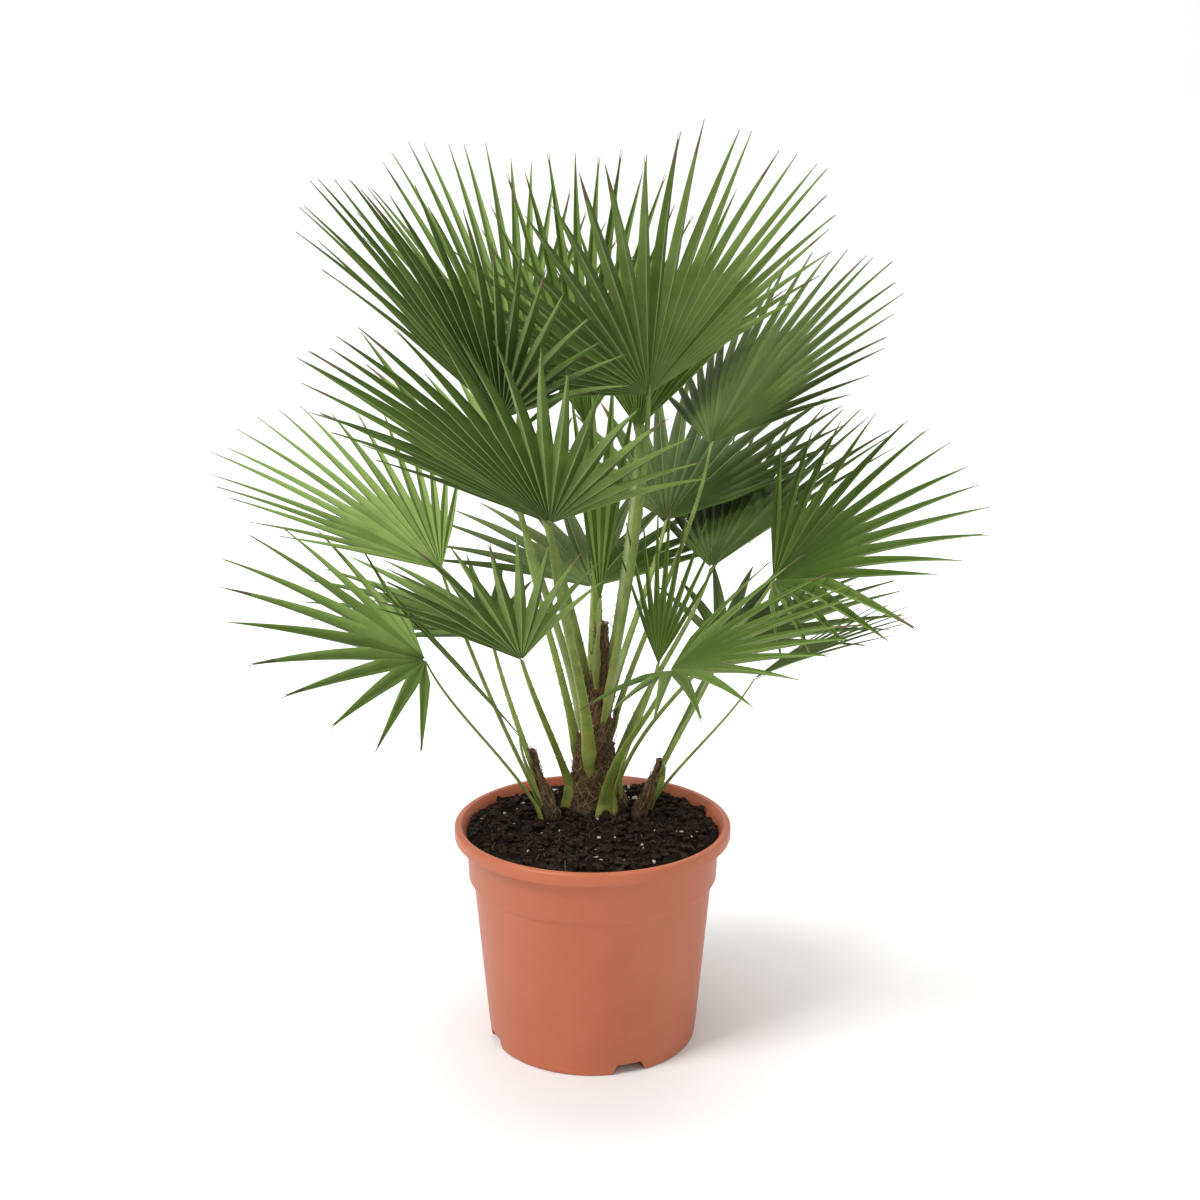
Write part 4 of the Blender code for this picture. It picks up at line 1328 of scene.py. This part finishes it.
@dataclass
class Soil:
    """Potting soil: a lumpy bed with crumbs, wood chips, perlite and pale fibres."""

    pot: Pot
    crown_height: float = SOIL_CROWN_HEIGHT
    crown_radius: float = 0.086
    edge_height: float = 0.2040
    heap_height: float = 0.0050
    lump_height: float = 0.0062
    grain_height: float = 0.0020
    around: int = 180
    rings: int = 64
    crumbs: int = 1900
    chips: int = 260
    perlite: int = 80
    fibres: int = 90

    def _edge_radius(self) -> float:
        """Gives the radius at which the bed meets the pot's wall."""
        inside = self.pot.inside()
        low, high = inside[-3], inside[-2]
        share = (self.edge_height - low[1]) / (high[1] - low[1])
        return low[0] + (high[0] - low[0]) * share - 2 * GAP

    def height_at(self, x: float, y: float) -> float:
        """Gives the height of the bed at a place."""
        radius = (x * x + y * y) ** 0.5
        share = min(max((radius - self.crown_radius) / (self._edge_radius() - self.crown_radius), 0), 1)
        level = self.crown_height - 0.0015 + (self.edge_height - self.crown_height + 0.0015) * share ** 1.3
        heap = self.heap_height * noise.noise(Vector((x * 30, y * 30, 3.0)))
        lumps = self.lump_height * noise.noise(Vector((x * 90, y * 90, 7.0)))
        grains = self.grain_height * noise.noise(Vector((x * 330, y * 330, 1.0)))
        return level + heap + lumps + grains

    def build(self, shelf: MaterialShelf) -> list[bpy.types.Object]:
        """Builds the bed and what lies on it.

        Args:
            shelf: Hands out the materials.

        Returns:
            The bed and the loose bits.
        """
        edge = self._edge_radius()
        rows = []
        for ring in range(self.rings + 1):
            radius = max(edge * ring / self.rings, 0.0004)
            rows.append([self._spot(radius, place) for place in range(self.around)])
        sides = [(max(radius - 2 * GAP, 0.0004), height + 1.5 * GAP)
                 for radius, height in self.pot.inside()[:-2]][::-1]
        for radius, height in sides:
            rows.append([Vector((radius * cos(2 * pi * place / self.around),
                                 radius * sin(2 * pi * place / self.around), height))
                         for place in range(self.around)])
        draft = Draft()
        draft.add_grid(rows, lambda *_: 0, closed=True)
        draft.faces.append(tuple(range(self.around)))
        last = len(draft.points)
        draft.faces.append(tuple(range(last - 1, last - 1 - self.around, -1)))
        draft.slots += [0, 0]
        bed = placed(draft.piece("soil_bed", [shelf.take(PEAT)], sharp=80.0), "potting_soil", "soil")
        return [bed, self._litter(shelf)]

    def _spot(self, radius: float, place: int) -> Vector:
        """Gives a point of the bed's top."""
        turn = 2 * pi * place / self.around
        x, y = radius * cos(turn), radius * sin(turn)
        return Vector((x, y, self.height_at(x, y)))

    def _litter(self, shelf: MaterialShelf) -> bpy.types.Object:
        """Builds the crumbs, chips, perlite and fibres as one piece."""
        dice = random.Random(f"{SEED} soil")
        draft = Draft()
        reach = self._edge_radius() - 0.003
        for count, slot, low, high in ((self.crumbs, 0, 0.0008, 0.0044),
                                       (self.perlite, 2, 0.0009, 0.0027)):
            for _ in range(count):
                size = low + (high - low) * dice.random() ** 2.5
                x, y = self._scatter(reach, dice)
                centre = Vector((x, y, self.height_at(x, y) + 0.35 * size))
                spans = Vector((size * dice.uniform(0.8, 1.4), size * dice.uniform(0.8, 1.4),
                                size * dice.uniform(0.55, 0.85)))
                draft.add_lump(centre, spans, dice, slot)
        for count, slot, length, girth in ((self.chips, 1, 0.006, 0.0007),
                                           (self.fibres, 3, 0.022, 0.00026)):
            for _ in range(count):
                x, y = self._scatter(reach - length, dice)
                turn = dice.uniform(0, 2 * pi)
                bend = dice.uniform(-1.2, 1.2)
                run = length * dice.uniform(0.4, 1.2)
                path = []
                for step in range(5):
                    angle = turn + bend * step / 4
                    path.append(Vector((x, y, self.height_at(x, y) + girth + 0.0006 * (step % 2))))
                    x += cos(angle) * run / 4
                    y += sin(angle) * run / 4
                draft.add_strand(path, girth * dice.uniform(0.6, 1.3), slot)
        materials = [shelf.take(finish) for finish in (PEAT_CRUMB, PEAT_CHIP, PERLITE, PEAT_FIBRE)]
        return placed(draft.piece("soil_litter", materials, sharp=40.0), "potting_soil")

    @staticmethod
    def _scatter(reach: float, dice: random.Random) -> tuple[float, float]:
        """Gives a place on the bed, evenly spread."""
        radius = reach * dice.random() ** 0.5
        turn = dice.uniform(0, 2 * pi)
        return radius * cos(turn), radius * sin(turn)


@dataclass
class Studio:
    """The floor with its backdrop, the lights and the camera."""

    half_width: float = 9.0
    front: float = -4.0
    bend: float = 5.0
    curve_radius: float = 2.5
    curve_steps: int = 16
    wall_height: float = 7.0
    sky_strength: float = 0.62

    def build(self, shelf: MaterialShelf) -> None:
        """Builds the studio.

        Args:
            shelf: Hands out the materials.
        """
        profile = [(self.front, 0.0), (self.bend, 0.0)]
        for step in range(1, self.curve_steps + 1):
            turn = radians(90 * step / self.curve_steps)
            profile.append((self.bend + self.curve_radius * sin(turn),
                            self.curve_radius * (1 - cos(turn))))
        profile.append((self.bend + self.curve_radius, self.wall_height))
        draft = Draft()
        rows = [[Vector((-self.half_width, y, z)), Vector((self.half_width, y, z))] for y, z in profile]
        draft.add_grid([row[::-1] for row in rows], lambda *_: 0)
        draft.piece("studio_sweep", [shelf.take(FLOOR_WHITE)], sharp=80.0)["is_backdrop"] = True
        self._lamp("key", (-1.9, -1.5, 2.9), 1.2, 90.0)
        self._lamp("fill", (1.6, -2.6, 1.6), 2.4, 9.0)
        self._lamp("backdrop", (0.0, 1.6, 4.2), 3.6, 240.0, (0.0, 5.6, 0.6))
        world = bpy.data.worlds.new("studio")
        world.use_nodes = True
        sky = world.node_tree.nodes["Background"]
        sky.inputs["Color"].default_value = (1.0, 1.0, 1.0, 1.0)
        sky.inputs["Strength"].default_value = self.sky_strength
        bpy.context.scene.world = world
        bpy.context.scene.view_settings.view_transform = "Standard"
        view = bpy.data.cameras.new("photo_view")
        view.lens = CAMERA_LENS
        view.sensor_width = SENSOR_WIDTH
        camera = bpy.data.objects.new("photo_view", view)
        camera.location = CAMERA_PLACE
        camera.rotation_euler = (radians(90 - CAMERA_DIP), 0.0, CAMERA_TURN)
        bpy.context.scene.collection.objects.link(camera)
        bpy.context.scene.camera = camera

    @staticmethod
    def _lamp(name: str, place: tuple[float, float, float], size: float, power: float,
              target: tuple[float, float, float] = (0.0, 0.0, 0.4)) -> None:
        """Adds a square lamp that points at the middle of the plant, or at a target."""
        data = bpy.data.lights.new(name, "AREA")
        data.size = size
        data.energy = power
        lamp = bpy.data.objects.new(name, data)
        lamp.location = place
        towards = Vector(target) - Vector(place)
        lamp.rotation_euler = towards.to_track_quat("-Z", "Y").to_euler()
        bpy.context.scene.collection.objects.link(lamp)


def main() -> None:
    """Builds every piece of the plant in order, then the studio."""
    logging.basicConfig(level=logging.INFO, format="%(name)s: %(message)s")
    shelf = MaterialShelf()
    pot = Pot()
    pot.build(shelf)
    Soil(pot).build(shelf)
    trunk, left_sucker, right_sucker = STEMS
    StemSkin(trunk, 144, 150, 44, 1500).build(shelf)
    StemSkin(left_sucker, 40, 36, 9, 150, slimming=0.60).build(shelf)
    StemSkin(right_sucker, 40, 30, 8, 130, slimming=0.60).build(shelf)
    petioles, blades = Growth.grown()
    for frond in FRONDS:
        Petiole(frond, petioles[frond.name]).build(shelf)
        Blade(frond, blades[frond.name]).build(shelf)
    Studio().build(shelf)


if __name__ == "__main__":
    main()
    [[list(map(float, corner)) for corner in box] for box in (CAD_BOX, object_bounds())]
